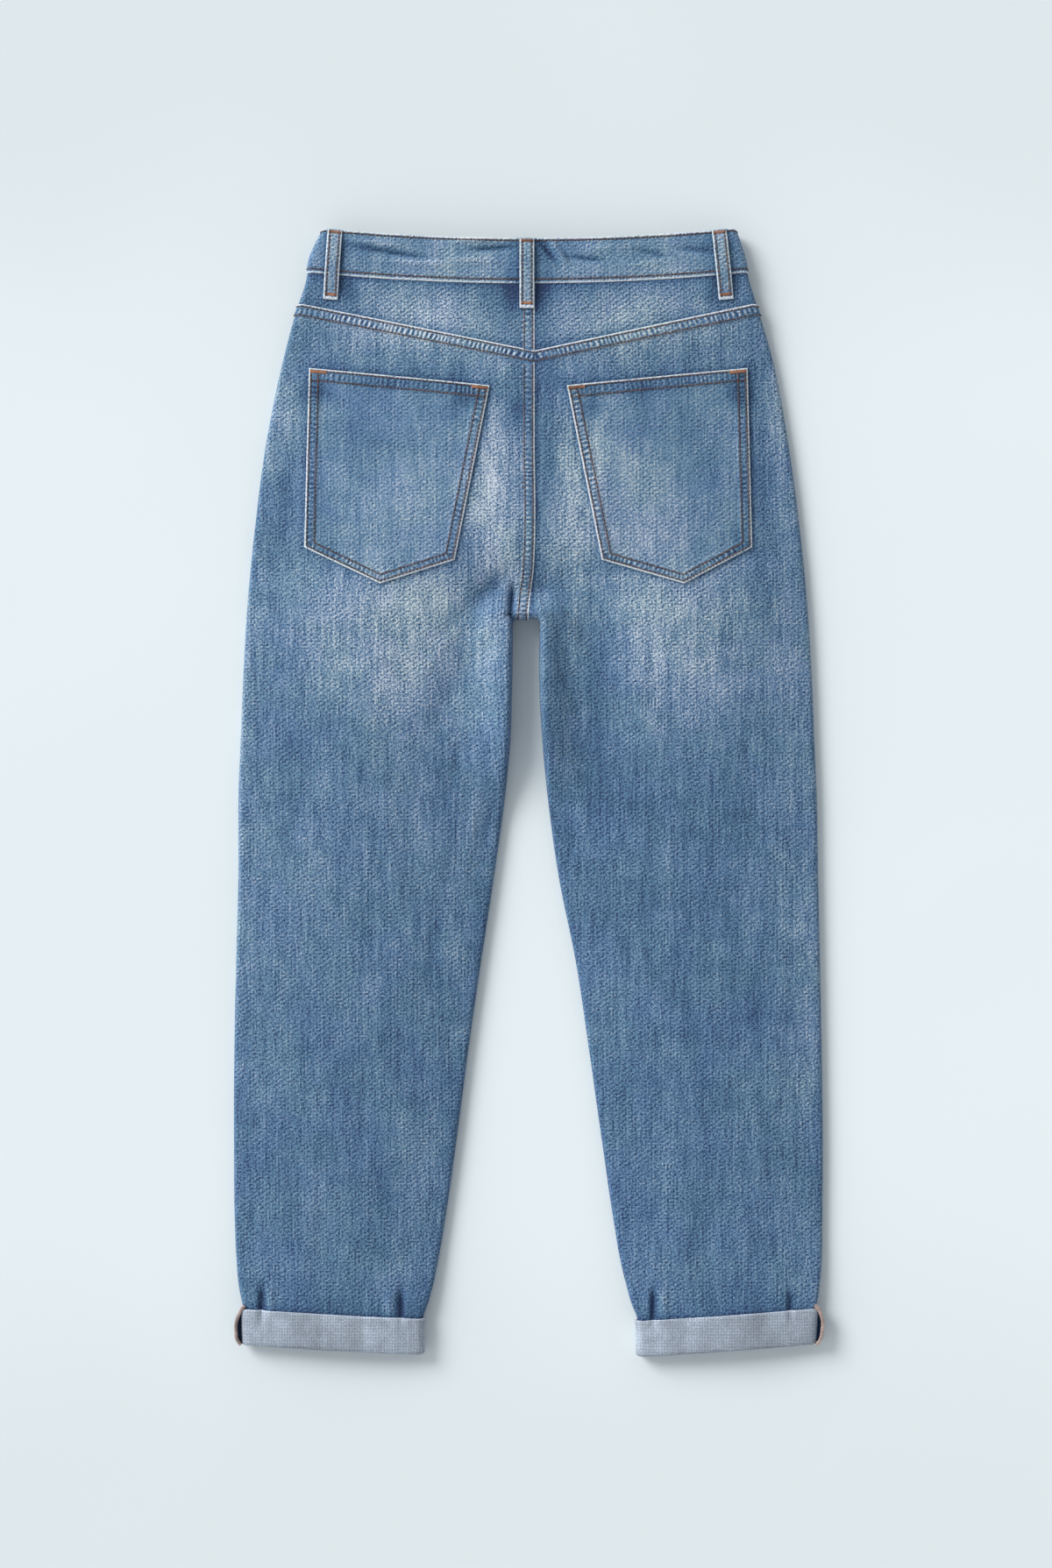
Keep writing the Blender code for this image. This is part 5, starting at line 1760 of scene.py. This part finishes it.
def band_row(drop):
    """Base points and normals once round the waistband, at a distance down its depth, from its under end."""
    left, right = side_x("left", WAIST_Y - drop) + FOLD, side_x("right", WAIST_Y - drop) - FOLD
    raised_x = np.linspace(-UNDERLAP, UNDERLAP_LEVEL_X, RAISED_COLUMNS)[:-1]
    under_x = np.concatenate([raised_x, np.linspace(UNDERLAP_LEVEL_X, right, LEVEL_COLUMNS)])
    over_x = np.linspace(left, OVERLAP, OVER_COLUMNS)
    back_x = np.linspace(right, left, BACK_COLUMNS)
    under_y, over_y = waist_y(under_x, False) - drop, waist_y(over_x, False) - drop
    back_y = waist_y(back_x, True) - drop
    lower, lower_normals = layer(under_x, under_y, up=False)
    past = (UNDERLAP_LEVEL_X - under_x) / (UNDERLAP_LEVEL_X - UNDERLAP_RAISED_X)
    lower[:, 2] += (BAND_OUT + BAND_IN + GAP) * soft(past)
    back, back_normals = layer(back_x, back_y, up=True)
    last, last_normals = layer(over_x, over_y, up=False)
    right_fold, right_normals = turned_edge(right, back_y[0], 1, 0, margin=None, y_under=under_y[-1])
    left_fold, left_normals = turned_edge(left, back_y[-1], -1, 0, margin=None, y_under=over_y[0])
    points = [lower, right_fold[-2:0:-1], back, left_fold[1:-1], last]
    normals = [lower_normals, right_normals[-2:0:-1], back_normals, left_normals[1:-1], last_normals]
    return np.concatenate(points), np.concatenate(normals)


BAND_DROPS = np.concatenate(
    [[0, 0.25, 0.7, 1.2, 1.8, 2.5], np.linspace(3.6, 34.6, 20), [35.4, 36, 36.6, 37.3, 38, 38.6, 39]]
)


def band_relief(drop):
    """Height over the doubled band: rounded edges, pressed in at both rows and slightly full between them."""
    from_bottom = BAND_DEPTH - drop
    edge = np.minimum(drop, from_bottom)
    pressed = dent(drop, BAND_STITCHES[0], 0.6) + dent(from_bottom, BAND_STITCHES[1], 0.7)
    return 0.35 * soft((edge - 2) / 6) - 0.3 * pressed - rounded_off(edge, 0.55, 1.1)


def waistband():
    """The doubled band, once round the waist from its under end to its over end at the centre front."""
    points, normals = (np.array(part) for part in zip(*map(band_row, BAND_DROPS)))
    drop = BAND_DROPS[:, None]
    from_bottom = BAND_DEPTH - drop
    edge = np.minimum(drop, from_bottom)
    top_row = np.interp(drop, [0, BAND_STITCHES[0], 6], [0, 1, 4])
    place = np.minimum(top_row, np.interp(from_bottom, [0, BAND_STITCHES[1], 9], [0, 1, 4]))
    # A little darker near the lower edge, and painted shadow beside the belt loops, partly kept indigo
    painted_shade_and_indigo = 0.06 * dent(from_bottom, 2, 2.5)
    painted_shade_and_indigo = painted_shade_and_indigo + 0.8 * loop_indigo_and_shadow(points[..., 0], points[..., 1]) * (points[..., 2] > 12)
    look = wash(points, BACK_WASH_AND_SHADE, base=0.58, worn=np.clip(1.6 - edge / 1.3, 0, 1), kept_indigo_and_painted_shade=painted_shade_and_indigo)
    outer = moved(points, normals, BAND_OUT + band_relief(drop))
    inner = moved(points, normals, rounded_off(edge, 0.5, 1.1) - BAND_IN)
    flat = flat_places(points, BAND_MIDDLE, -1) + BAND_CUT_FROM
    cloth = Cloth(outer, inner, flat, look, seam_places(along_rows(points), place, 0.0))
    return cloth_piece("waistband", cloth, "denim seam", "denim seam")


class MOM_JEANS_OT_waistband(bpy.types.Operator):
    """Make the doubled waistband"""

    bl_idname = "mom_jeans.waistband"
    bl_label = "Waistband"

    def execute(self, context):
        declare(waistband(), "waistband")
        return {"FINISHED"}


LOOP_DOWNS = np.concatenate(
    [[0, 0.3, 0.8, 1.4], np.linspace(2.2, 54.5, 46), [55.4, 56.2, 57, 58, 59, 59.6, LOOP_LENGTH]]
)
LOOP_HALF = np.array([0.06, 0.17, 0.26, 0.32, 0.38, 0.44, 0.48, 0.5])  # of the width, from the middle out
LOOP_TACKS = (2.2, LOOP_LENGTH - 4.2)


def loop_surface(place, down, across, lift):
    """Points on a belt loop: down its length and across its width, lifted from the cloth behind it."""
    band, clear = read(LOOP_ROWS, "band", down), read(LOOP_ROWS, "clear", down)
    rise = LOOP_RISE if place.on_back else PRESSED_LOOP_RISE
    off = GAP + band * (BAND_OUT + 0.35) + (1 - band) * place.raised + clear * rise
    x = loop_centre(place, down) + across
    y = waist_y(x, place.on_back) - LOOP_INSET - down
    points, normals = layer(x, y, place.on_back)
    return moved(points, normals, off + lift), normals


def belt_loop(place):
    """A folded strip bartacked to the top of the band and below it, and standing a little clear between."""
    down, across = LOOP_DOWNS[:, None], LOOP_WIDTH * np.concatenate([-LOOP_HALF[::-1], LOOP_HALF])
    edge, end = LOOP_WIDTH / 2 - np.abs(across), np.minimum(down, LOOP_LENGTH - down)
    rounding = np.maximum(rounded_off(edge, 0.5, 0.9), rounded_off(end, 0.5, 0.9))
    tacked = 0.35 * sum(dent(down, tack, 1.2) for tack in LOOP_TACKS)
    lift = LOOP_WALL - 0.25 * dent(edge, LOOP_STITCH, 0.6) - rounding - tacked
    outer, _ = loop_surface(place, down, across, lift)
    inner, _ = loop_surface(place, down, across, 0.0)
    rows = np.interp(edge, [0, LOOP_STITCH, 6], [0, 1, 3.2])
    worn = np.maximum(np.clip(1.5 - edge / 0.9, 0, 1), 0.85 * soft((down - 57.3) / 0.8))
    table = BACK_WASH_AND_SHADE if place.on_back else FRONT_WASH_AND_SHADE
    pale = 0.68 - patches(table, outer[..., 0], outer[..., 1])
    look = wash(outer, table, base=pale, worn=worn)
    cloth = Cloth(outer, inner, plan(outer) + LOOP_CUT_FROM, look, seam_places(down, rows, 0.0))
    return cloth_piece(place.name, cloth, "denim seam", "denim seam")


class MOM_JEANS_OT_belt_loops(bpy.types.Operator):
    """Make the five belt loops"""

    bl_idname = "mom_jeans.belt_loops"
    bl_label = "Belt loops"

    def execute(self, context):
        for place in LOOPS:
            declare(belt_loop(place), place.name)
        return {"FINISHED"}


# Fly


TAPE_NEAR, TAPE_WALL = WALL + GAP + 0.35, 0.8
TOOTH_HALF_SIZE, TOOTH_REACH, TOOTH_STEP = (1.6, 0.36, 0.42), 0.75, 1.0


def zip_tapes():
    """The zip's two tapes, with the ridge that the chain sits on."""
    offset, down = np.meshgrid(np.linspace(-TAPE_HALF, TAPE_HALF, 33), np.linspace(0, ZIP_LENGTH, 60))
    points, normals = layer(CENTRE_FRONT + offset, FLY_TOP_Y - down, up=False)
    outer = moved(points, normals, -TAPE_NEAR - TAPE_WALL - 0.25 * dent(offset, 0, 2.6))
    cloth = Cloth(outer, moved(points, normals, -TAPE_NEAR), plan(points), NO_LOOK)
    return cloth_piece("zip", cloth, "zip tape", "zip tape")


def blocks(name, centres, half_size, finish):
    """Many small eight-cornered blocks with drawn-in ends, joined as one mesh."""
    corners = np.array([(x, y, z) for z in (-1, 1) for y in (-1, 1) for x in (-1, 1)], float)
    corners[:, :2] *= np.where(corners[:, 2:] > 0, 0.72, 1.0)
    points = centres[:, None] + corners * half_size
    quads = np.array([(0, 2, 3, 1), (4, 5, 7, 6), (0, 1, 5, 4), (2, 6, 7, 3), (0, 4, 6, 2), (1, 3, 7, 5)])
    faces = (quads + 8 * np.arange(len(centres))[:, None, None]).reshape(-1, 4)
    return link(name, new_mesh(name, points, faces.tolist()), [finish], sharp_degrees=30)


def zip_teeth():
    """The closed chain: teeth that reach in turn from each tape over the middle."""
    y = FLY_TOP_Y - np.arange(SLIDER_END + 1, ZIP_LENGTH - 2, TOOTH_STEP)
    side = np.where(np.arange(len(y)) % 2 == 0, -1, 1)
    centres = stacked(CENTRE_FRONT + side * TOOTH_REACH, y, under(y) + WALL + GAP + TAPE + 0.25)
    return blocks("zip_teeth", centres, TOOTH_HALF_SIZE, "aged brass")


def zip_slider():
    """The slider at the chain's top: a dome whose width follows a cosine, with rounded ends."""
    along, across = np.meshgrid(np.linspace(0, 1, 26), np.linspace(-1, 1, 19), indexing="ij")
    width = SLIDER_HALF * (0.62 + 0.38 * np.cos(math.pi * (along - 0.18) * 0.8))
    width = width * np.sqrt(np.clip(1 - (2 * along - 1) ** 8, 0.02, 1))
    x, y = CENTRE_FRONT + across * width, FLY_TOP_Y - SLIDER_TOP - along * (SLIDER_END - SLIDER_TOP)
    dome = 1 - 0.35 * across**4 - 0.3 * (2 * along - 1) ** 4
    base = under(y) + WALL + GAP + 0.05
    cloth = Cloth(stacked(x, y, base + 1.85 * dome), stacked(x, y, base + 0.3 * (1 - dome)), NO_LOOK, NO_LOOK)
    return cloth_piece("zip_slider", cloth, "aged brass", "aged brass")


def fly_shield():
    """The shield behind the zip, rounded off at its lower end by a quarter ellipse."""
    down = np.linspace(0, FLY_LENGTH, 76)[:, None]
    rounding = np.clip((down - FLY_ROUND) / (FLY_LENGTH - FLY_ROUND), 0, 1)
    width = np.sqrt(1 - (1 - FLY_END_SHARE**2) * rounding**2)
    x = CENTRE_FRONT + FLY_RIGHT - np.linspace(0, 1, 26) * (FLY_RIGHT + FLY_LEFT) * width
    points, normals = layer(x, FLY_TOP_Y - down, up=False)
    near = WALL + GAP + TAPE + CHAIN_RISE + GAP
    wave = 0.2 * np.sin(points[..., 1] / 11)
    outer, inner = moved(points, normals, -near), moved(points, normals, -near - WALL - wave)
    cloth = Cloth(outer, inner, plan(points), (0.45, 0.0, 0.0))
    return cloth_piece("fly", cloth, "denim panel", "denim reverse")


def button():
    """The shank button: its profile turned once round, with a ring groove in the dished head."""
    profile = np.array(BUTTON_PROFILE, float)
    angle = np.linspace(0, 2 * math.pi, 73)[:-1]
    middle_y = WAIST_Y - FRONT_DIP - BAND_DEPTH / 2
    radius, z = profile[1:-1].T[..., None]
    rings = stacked(CENTRE_FRONT + radius * np.cos(angle), middle_y + radius * np.sin(angle), z)
    poles = np.array([(CENTRE_FRONT, middle_y, pole) for pole in profile[[0, -1], 1]])
    index = np.arange(radius.size * angle.size).reshape(radius.size, angle.size)
    around = np.roll(index, -1, axis=1)
    fans = [(index.size, b, a) for a, b in zip(index[0], around[0])]
    fans += [(index.size + 1, a, b) for a, b in zip(index[-1], around[-1])]
    points = np.concatenate([rings.reshape(-1, 3), poles])
    mesh = new_mesh("button", points, [*ring_squares(index).tolist(), *fans])
    turn_outwards(mesh)
    made = link("button", mesh, ["aged brass"], sharp_degrees=40)
    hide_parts("button")


class MOM_JEANS_OT_fly(bpy.types.Operator):
    """Make the zip, the shield behind it and the button"""

    bl_idname = "mom_jeans.fly"
    bl_label = "Fly"

    def execute(self, context):
        chain = [zip_teeth(), zip_slider()]
        declare(zip_tapes(), "zip", chain)
        declare(fly_shield(), "fly")
        button()
        return {"FINISHED"}


# Sewing

Run = namedtuple("Run", "points normals")


def resampled(run, pitch):
    """Evenly spaced places on a run of stitches, with the run's direction and the cloth's normal there."""
    steps = np.linalg.norm(np.diff(run.points, axis=0), axis=1)
    along = np.concatenate([[0], np.cumsum(steps)])
    count = max(int(along[-1] / pitch), 1)
    places = (np.arange(count) + 0.5) * along[-1] / count

    def read_at(places, values):
        return np.stack([np.interp(places, along, values[:, k]) for k in range(3)], -1)

    centre, normal = read_at(places, run.points), read_at(places, run.normals)
    heading = read_at(places + 0.4, run.points) - read_at(places - 0.4, run.points)
    heading /= np.linalg.norm(heading, axis=1, keepdims=True)
    normal -= heading * (normal * heading).sum(1, keepdims=True)
    normal /= np.linalg.norm(normal, axis=1, keepdims=True)
    return centre, heading, normal


STITCH_SIDES = 6
STITCH_RINGS = np.array([(-0.5, 0.45, -0.3), (-0.34, 0.95, 0.16), (0.34, 0.95, 0.16), (0.5, 0.45, -0.3)])


def stitches(name, runs, finish, pitch, length, thickness, crosswise=False):
    """Stitches as short rods, each a ring of six carried along four places, which dive into the cloth."""
    placed = [resampled(run, pitch) for run in runs]
    centre, heading, normal = (np.concatenate(part) for part in zip(*placed))
    across = np.cross(heading, normal)
    if crosswise:
        heading, across = across, -heading
    wobble = np.random.default_rng(len(centre)).uniform(-1, 1, (len(centre), 2))
    heading = heading + across * wobble[:, :1] * 0.05
    size = 1 + 0.06 * wobble[:, 1:]
    angle = np.linspace(0, 2 * math.pi, STITCH_SIDES, endpoint=False)
    place, radius, lift = STITCH_RINGS.T[..., None]
    radius = thickness / 2 * radius
    out, up = radius * np.cos(angle), radius * np.sin(angle) + lift * thickness
    forward = np.broadcast_to(place * length, out.shape)
    points = centre[:, None, None]
    for axis, amount in ((heading * size, forward), (across, out), (normal, up)):
        points = points + axis[:, None, None] * amount[None, ..., None]
    index = np.arange(out.size).reshape(out.shape)
    shift = out.size * np.arange(len(centre))[:, None]
    faces = (ring_squares(index) + shift[..., None]).reshape(-1, 4).tolist()
    faces += (index[0][::-1] + shift).tolist() + (index[-1] + shift).tolist()
    mesh = new_mesh(name, points, faces)
    turn_outwards(mesh)
    return link(name, mesh, [finish], sharp_degrees=80)


STITCH_RISE = 0.6  # how far a fell's stitches stand off the panel's face


def level_run(x, y, z, up=True):
    """A run of stitches at the given height, on cloth that faces straight up or down."""
    points = stacked(x, y, z)
    return Run(points, facing(points.shape[:1], up))


def yoke_fell_runs():
    """Both rows of each yoke seam."""
    runs = []
    for side in SIDES:
        for row in FELL_STITCHES:
            points, normals = yoke_seam(side, np.array([row]), 160)
            runs.append(Run(moved(points, normals, STITCH_RISE)[0], normals[0]))
    return runs


def centre_fell_runs():
    """Both rows of the centre back seam, above and below the yoke seam and round the crotch's fold."""
    runs = []
    yoke_top = float(waist_y(0, True)) - BAND_DEPTH - 18
    spans = ((yoke_top, YOKE_CENTRE_Y + 1.5), (YOKE_CENTRE_Y - FELL_WIDTH, CROTCH_Y + FOLD))
    for row in FELL_STITCHES:
        for top, bottom in spans:
            y = np.linspace(top, bottom, 120)
            x = read(CENTRE_BACK, "x", y) + FELL_OVER - row
            runs.append(level_run(x, y, back_height(x, y) + STITCH_RISE))
        turned, normals = turned_edge(x[-1], y[-1], 0, -1, margin=None)
        runs.append(Run(moved(turned, normals, STITCH_RISE)[:-FELL_STOP], normals[:-FELL_STOP]))
    return runs


def inset(corners, distances):
    """The corners of a polygon whose edges are moved in by the given distances."""
    edges = zip(edges_of(corners), distances)
    lines = [(start + inward * distance, heading) for (start, heading, inward), distance in edges]
    moved_corners = []
    for (start, heading), (other, turned) in zip(np.roll(np.array(lines), 1, axis=0), lines):
        share = np.linalg.solve(np.stack([heading, -turned], -1), other - start)
        moved_corners.append(start + share[0] * heading)
    return np.array(moved_corners)


def polyline(corners, step=1.0):
    """Points at even steps along straight lines between the corners."""
    parts = []
    for start, end in zip(corners[:-1], corners[1:]):
        count = max(int(np.linalg.norm(end - start) / step), 2)
        parts.append(start + np.linspace(0, 1, count, endpoint=False)[:, None] * (end - start))
    return np.concatenate([*parts, corners[-1:]])


def pocket_runs():
    """Two rows round each back pocket's sewn edges, and two along its hem."""
    runs = []
    first, second = POCKET_STITCHES
    near_point = second - POCKET_STITCH_TAPER
    for side in SIDES:
        corners = pocket_corners(side)
        lines = [
            inset(corners, (first,) * 4 + (0.8,)),
            inset(corners, (second - 1, near_point, near_point, second - 1, 0.8)),
        ]
        lines += [inset(corners, (1.0,) * 4 + (row,))[[0, 4]] for row in POCKET_HEM_STITCHES]
        for line in lines:
            x, y = polyline(line).T
            runs.append(level_run(x, y, pocket_face(side, x, y) + 0.15))
    return runs


def band_runs():
    """A row along each edge of the waistband."""
    runs = []
    for drop in (BAND_STITCHES[0], BAND_DEPTH - BAND_STITCHES[1]):
        points, normals = band_row(drop)
        runs.append(Run(moved(points, normals, BAND_OUT + band_relief(drop) + 0.1), normals))
    return runs


def loop_runs():
    """A row along each side of each belt loop."""
    runs = []
    down = np.linspace(1.2, LOOP_LENGTH - 2.6, 60)
    for place in LOOPS:
        for side in (-1, 1):
            across = side * (LOOP_WIDTH / 2 - LOOP_STITCH)
            runs.append(Run(*loop_surface(place, down, across, LOOP_WALL - 0.12)))
    return runs


def front_runs():
    """The fly's curved double row, and the two rows along each front pocket's opening."""
    lines = []
    round_y = FLY_TOP_Y - FLY_ROUND
    for row in FLY_STITCHES:
        straight_y = np.linspace(FLY_TOP_Y + 0.5, round_y, 40)
        turn = np.radians(np.linspace(0, 86, 40))[1:]
        x = np.concatenate([np.full(40, CENTRE_FRONT - row), CENTRE_FRONT - row * np.cos(turn)])
        lines.append((x, np.concatenate([straight_y, round_y - (row + 12) * np.sin(turn)])))
    for side, sign in SIDES.items():
        x_side = float(side_x(side, SCOOP_Y)) - sign * (FOLD + MARGIN + GAP)
        turn = np.radians(np.linspace(0, 88, 80))
        for row in SCOOP_STITCHES:
            x = x_side - sign * (SCOOP_WIDTH + row) * np.cos(turn)
            y = PANEL_TOP_Y - (SCOOP_DEPTH + row) * np.sin(turn)
            lines.append((x, y + (1 - np.sin(turn)) * (waist_y(x, on_back=False) - WAIST_Y)))
    return [level_run(x, y, under(y) + FRONT_LIFT, up=False) for x, y in lines]


TACK_ENDS, TACK_DOWN = (1.4, 15.5), (0, -2.7)  # along and below the opening's corners


def bartack_runs():
    """Bartacks: across both ends of each belt loop, and along both ends of each back pocket's opening."""
    runs = []
    across = np.linspace(-LOOP_WIDTH / 2 + 1.2, LOOP_WIDTH / 2 - 1.2, 20)
    for place in LOOPS:
        for down in LOOP_TACKS:
            runs.append(Run(*loop_surface(place, down, across, LOOP_WALL - 0.15)))
    for side in SIDES:
        corners = pocket_corners(side)
        for start, end in ((corners[0], corners[4]), (corners[4], corners[0])):
            heading = (end - start) / np.linalg.norm(end - start)
            ends = start + np.array(TACK_ENDS)[:, None] * heading + TACK_DOWN
            x, y = polyline(ends, 0.5).T
            runs.append(level_run(x, y, pocket_face(side, x, y) + 0.45))
    return runs


def overlock_runs():
    """The thread wrapped over the upper edge of each outseam allowance."""
    paths = [smooth_path(ALLOWANCE_PATHS[side], 60) for side in SIDES]
    return [level_run(path[:, 0], path[:, 1], OVERLOCK_Z) for path in paths]


class MOM_JEANS_OT_sewing(bpy.types.Operator):
    """Sew the topstitching, the bartacks and the overlocked edges"""

    bl_idname = "mom_jeans.sewing"
    bl_label = "Sewing"

    def execute(self, context):
        sewing = context.scene.mom_jeans_sewing
        rows = (
            ("stitches_yoke", yoke_fell_runs()),
            ("stitches_centre_back", centre_fell_runs()),
            ("stitches_back_pockets", pocket_runs()),
            ("stitches_waistband", band_runs()),
            ("stitches_belt_loops", loop_runs()),
            ("stitches_front", front_runs()),
        )
        size = (sewing.pitch / MM, sewing.length / MM, sewing.thickness / MM)
        for name, runs in rows:
            stitches(name, runs, "topstitching thread", *size)
        stitches("bartacks", bartack_runs(), "bartack thread", *BARTACK_SIZE, crosswise=True)
        stitches("overlock", overlock_runs(), "overlock thread", *OVERLOCK_SIZE, crosswise=True)
        return {"FINISHED"}


# Finishes and stage


class MOM_JEANS_OT_finishes(bpy.types.Operator):
    """Make the materials: denim, its reverse, threads, zip tape, metal and the floor's finish"""

    bl_idname = "mom_jeans.finishes"
    bl_label = "Finishes"

    def execute(self, context):
        scene = context.scene
        denim, sewing = scene.mom_jeans_denim, scene.mom_jeans_sewing
        weave = weave_group(denim.twill_pitch)
        cloth = denim_group(denim, weave)
        denim_material("denim leg", cloth, twill=0.2, slub=0.5, fleck=2.2)
        denim_material("denim panel", cloth, twill=0.26, slub=0.3, fleck=2.2)
        denim_material("denim seam", cloth, twill=0.18, slub=0.35, fleck=1.6)
        reverse_material(denim, weave)
        thread_material("topstitching thread", sewing.thread)
        thread_material("bartack thread", sewing.bartack)
        thread_material("overlock thread", OVERLOCK_COLOUR)
        tape_material()
        metal_material("aged brass", BRASS_COLOUR)
        floor_material(scene.mom_jeans_stage.floor)
        return {"FINISHED"}


FOCUS_HEIGHT = 0.012  # the height whose scale sets the lens
FRAME_HEIGHT = 1.34175  # metres from the picture's top to its bottom at that height
SENSOR = 36.0
FLOOR_Z = -0.0001  # just below the jeans, in metres
CAMERA_XY = (-0.0019, 0.0069)
ZENITH_SHARE = 0.2  # how bright the middle of the ceiling is beside the walls
LEFT_LEAN = 0.52  # how much brighter the fill is at the left than at the front and back
KEY_AZIMUTH, KEY_ELEVATION = math.radians(141), math.radians(30)


class MOM_JEANS_OT_stage(bpy.types.Operator):
    """Make the pale floor, the soft light from the upper left and the camera straight above"""

    bl_idname = "mom_jeans.stage"
    bl_label = "Stage"

    def execute(self, context):
        scene = context.scene
        stage = scene.mom_jeans_stage
        mesh = bpy.data.meshes.new("floor")
        x, y = np.meshgrid(np.linspace(-3, 3, 13), np.linspace(-3, 3, 13))
        index = np.arange(x.size).reshape(x.shape)
        faces = squares(index, np.ones((12, 12), bool))
        mesh.from_pydata(stacked(x, y, FLOOR_Z).reshape(-1, 3).tolist(), [], faces.tolist())
        mesh.materials.append(bpy.data.materials["pale surface"])
        floor = bpy.data.objects.new("floor", mesh)
        scene.collection.objects.link(floor)

        key = bpy.data.lights.new("key", "SUN")
        key.energy = stage.key_strength
        key.angle = stage.key_softness
        key.color = (1.0, 0.985, 0.96)
        lamp = bpy.data.objects.new("key", key)
        lamp.rotation_euler = (0, math.pi / 2 - KEY_ELEVATION, KEY_AZIMUTH)
        scene.collection.objects.link(lamp)

        world = bpy.data.worlds.new("soft box")
        world.use_nodes = True
        tree = world.node_tree
        background = tree.nodes["Background"]
        background.inputs["Color"].default_value = (0.93, 0.97, 1.0, 1)
        way = add(tree, "ShaderNodeTexCoord").outputs["Generated"]
        ways = parts_of(tree, way)
        strength = spread(tree, ways[2], 0, 1, stage.fill_strength, ZENITH_SHARE * stage.fill_strength)
        leaning = product_plus(tree, ways[0], -LEFT_LEAN, 1.0)
        strength = product(tree, strength, leaning)
        tree.links.new(strength, background.inputs["Strength"])
        scene.world = world
        scene.view_settings.view_transform = "Standard"

        camera = bpy.data.cameras.new("camera")
        camera.sensor_width = SENSOR
        camera.lens = SENSOR * (stage.camera_height - FOCUS_HEIGHT) / FRAME_HEIGHT
        seen = bpy.data.objects.new("camera", camera)
        seen.location = (*CAMERA_XY, stage.camera_height)
        scene.collection.objects.link(seen)
        scene.camera = seen
        return {"FINISHED"}


class MOM_JEANS_PT_panel(bpy.types.Panel):
    """Lists the pieces and the settings"""

    bl_idname = "MOM_JEANS_PT_panel"
    bl_label = "Mom Jeans"
    bl_space_type = "VIEW_3D"
    bl_region_type = "UI"
    bl_category = "Mom Jeans"

    def draw(self, context):
        for step in STEPS:
            self.layout.operator(step.bl_idname)
        for settings in (getattr(context.scene, name) for name in SETTINGS):
            box = self.layout.box()
            for name in settings.__annotations__:
                box.prop(settings, name)


STEPS = (
    MOM_JEANS_OT_finishes,
    MOM_JEANS_OT_stage,
    MOM_JEANS_OT_back_legs,
    MOM_JEANS_OT_yokes,
    MOM_JEANS_OT_back_pockets,
    MOM_JEANS_OT_front_legs,
    MOM_JEANS_OT_front_pockets,
    MOM_JEANS_OT_cuffs,
    MOM_JEANS_OT_waistband,
    MOM_JEANS_OT_belt_loops,
    MOM_JEANS_OT_fly,
    MOM_JEANS_OT_sewing,
)
SETTINGS = {
    "mom_jeans_denim": DenimSettings,
    "mom_jeans_sewing": SewingSettings,
    "mom_jeans_stage": StageSettings,
}


def register():
    """Adds the settings, the steps and the panel."""
    for made in (*SETTINGS.values(), *STEPS, MOM_JEANS_PT_panel):
        bpy.utils.register_class(made)
    for name, made in SETTINGS.items():
        setattr(bpy.types.Scene, name, bpy.props.PointerProperty(type=made))


def unregister():
    """Takes them away again."""
    for name in SETTINGS:
        delattr(bpy.types.Scene, name)
    for made in reversed((*SETTINGS.values(), *STEPS, MOM_JEANS_PT_panel)):
        bpy.utils.unregister_class(made)


def main():
    """Dresses the solids step by step."""
    register()
    bpy.ops.mom_jeans.finishes()
    bpy.ops.mom_jeans.stage()
    bpy.ops.mom_jeans.back_legs()
    bpy.ops.mom_jeans.yokes()
    bpy.ops.mom_jeans.back_pockets()
    bpy.ops.mom_jeans.front_legs()
    bpy.ops.mom_jeans.front_pockets()
    bpy.ops.mom_jeans.cuffs()
    bpy.ops.mom_jeans.waistband()
    bpy.ops.mom_jeans.belt_loops()
    bpy.ops.mom_jeans.fly()
    bpy.ops.mom_jeans.sewing()


if __name__ == "__main__":
    main()
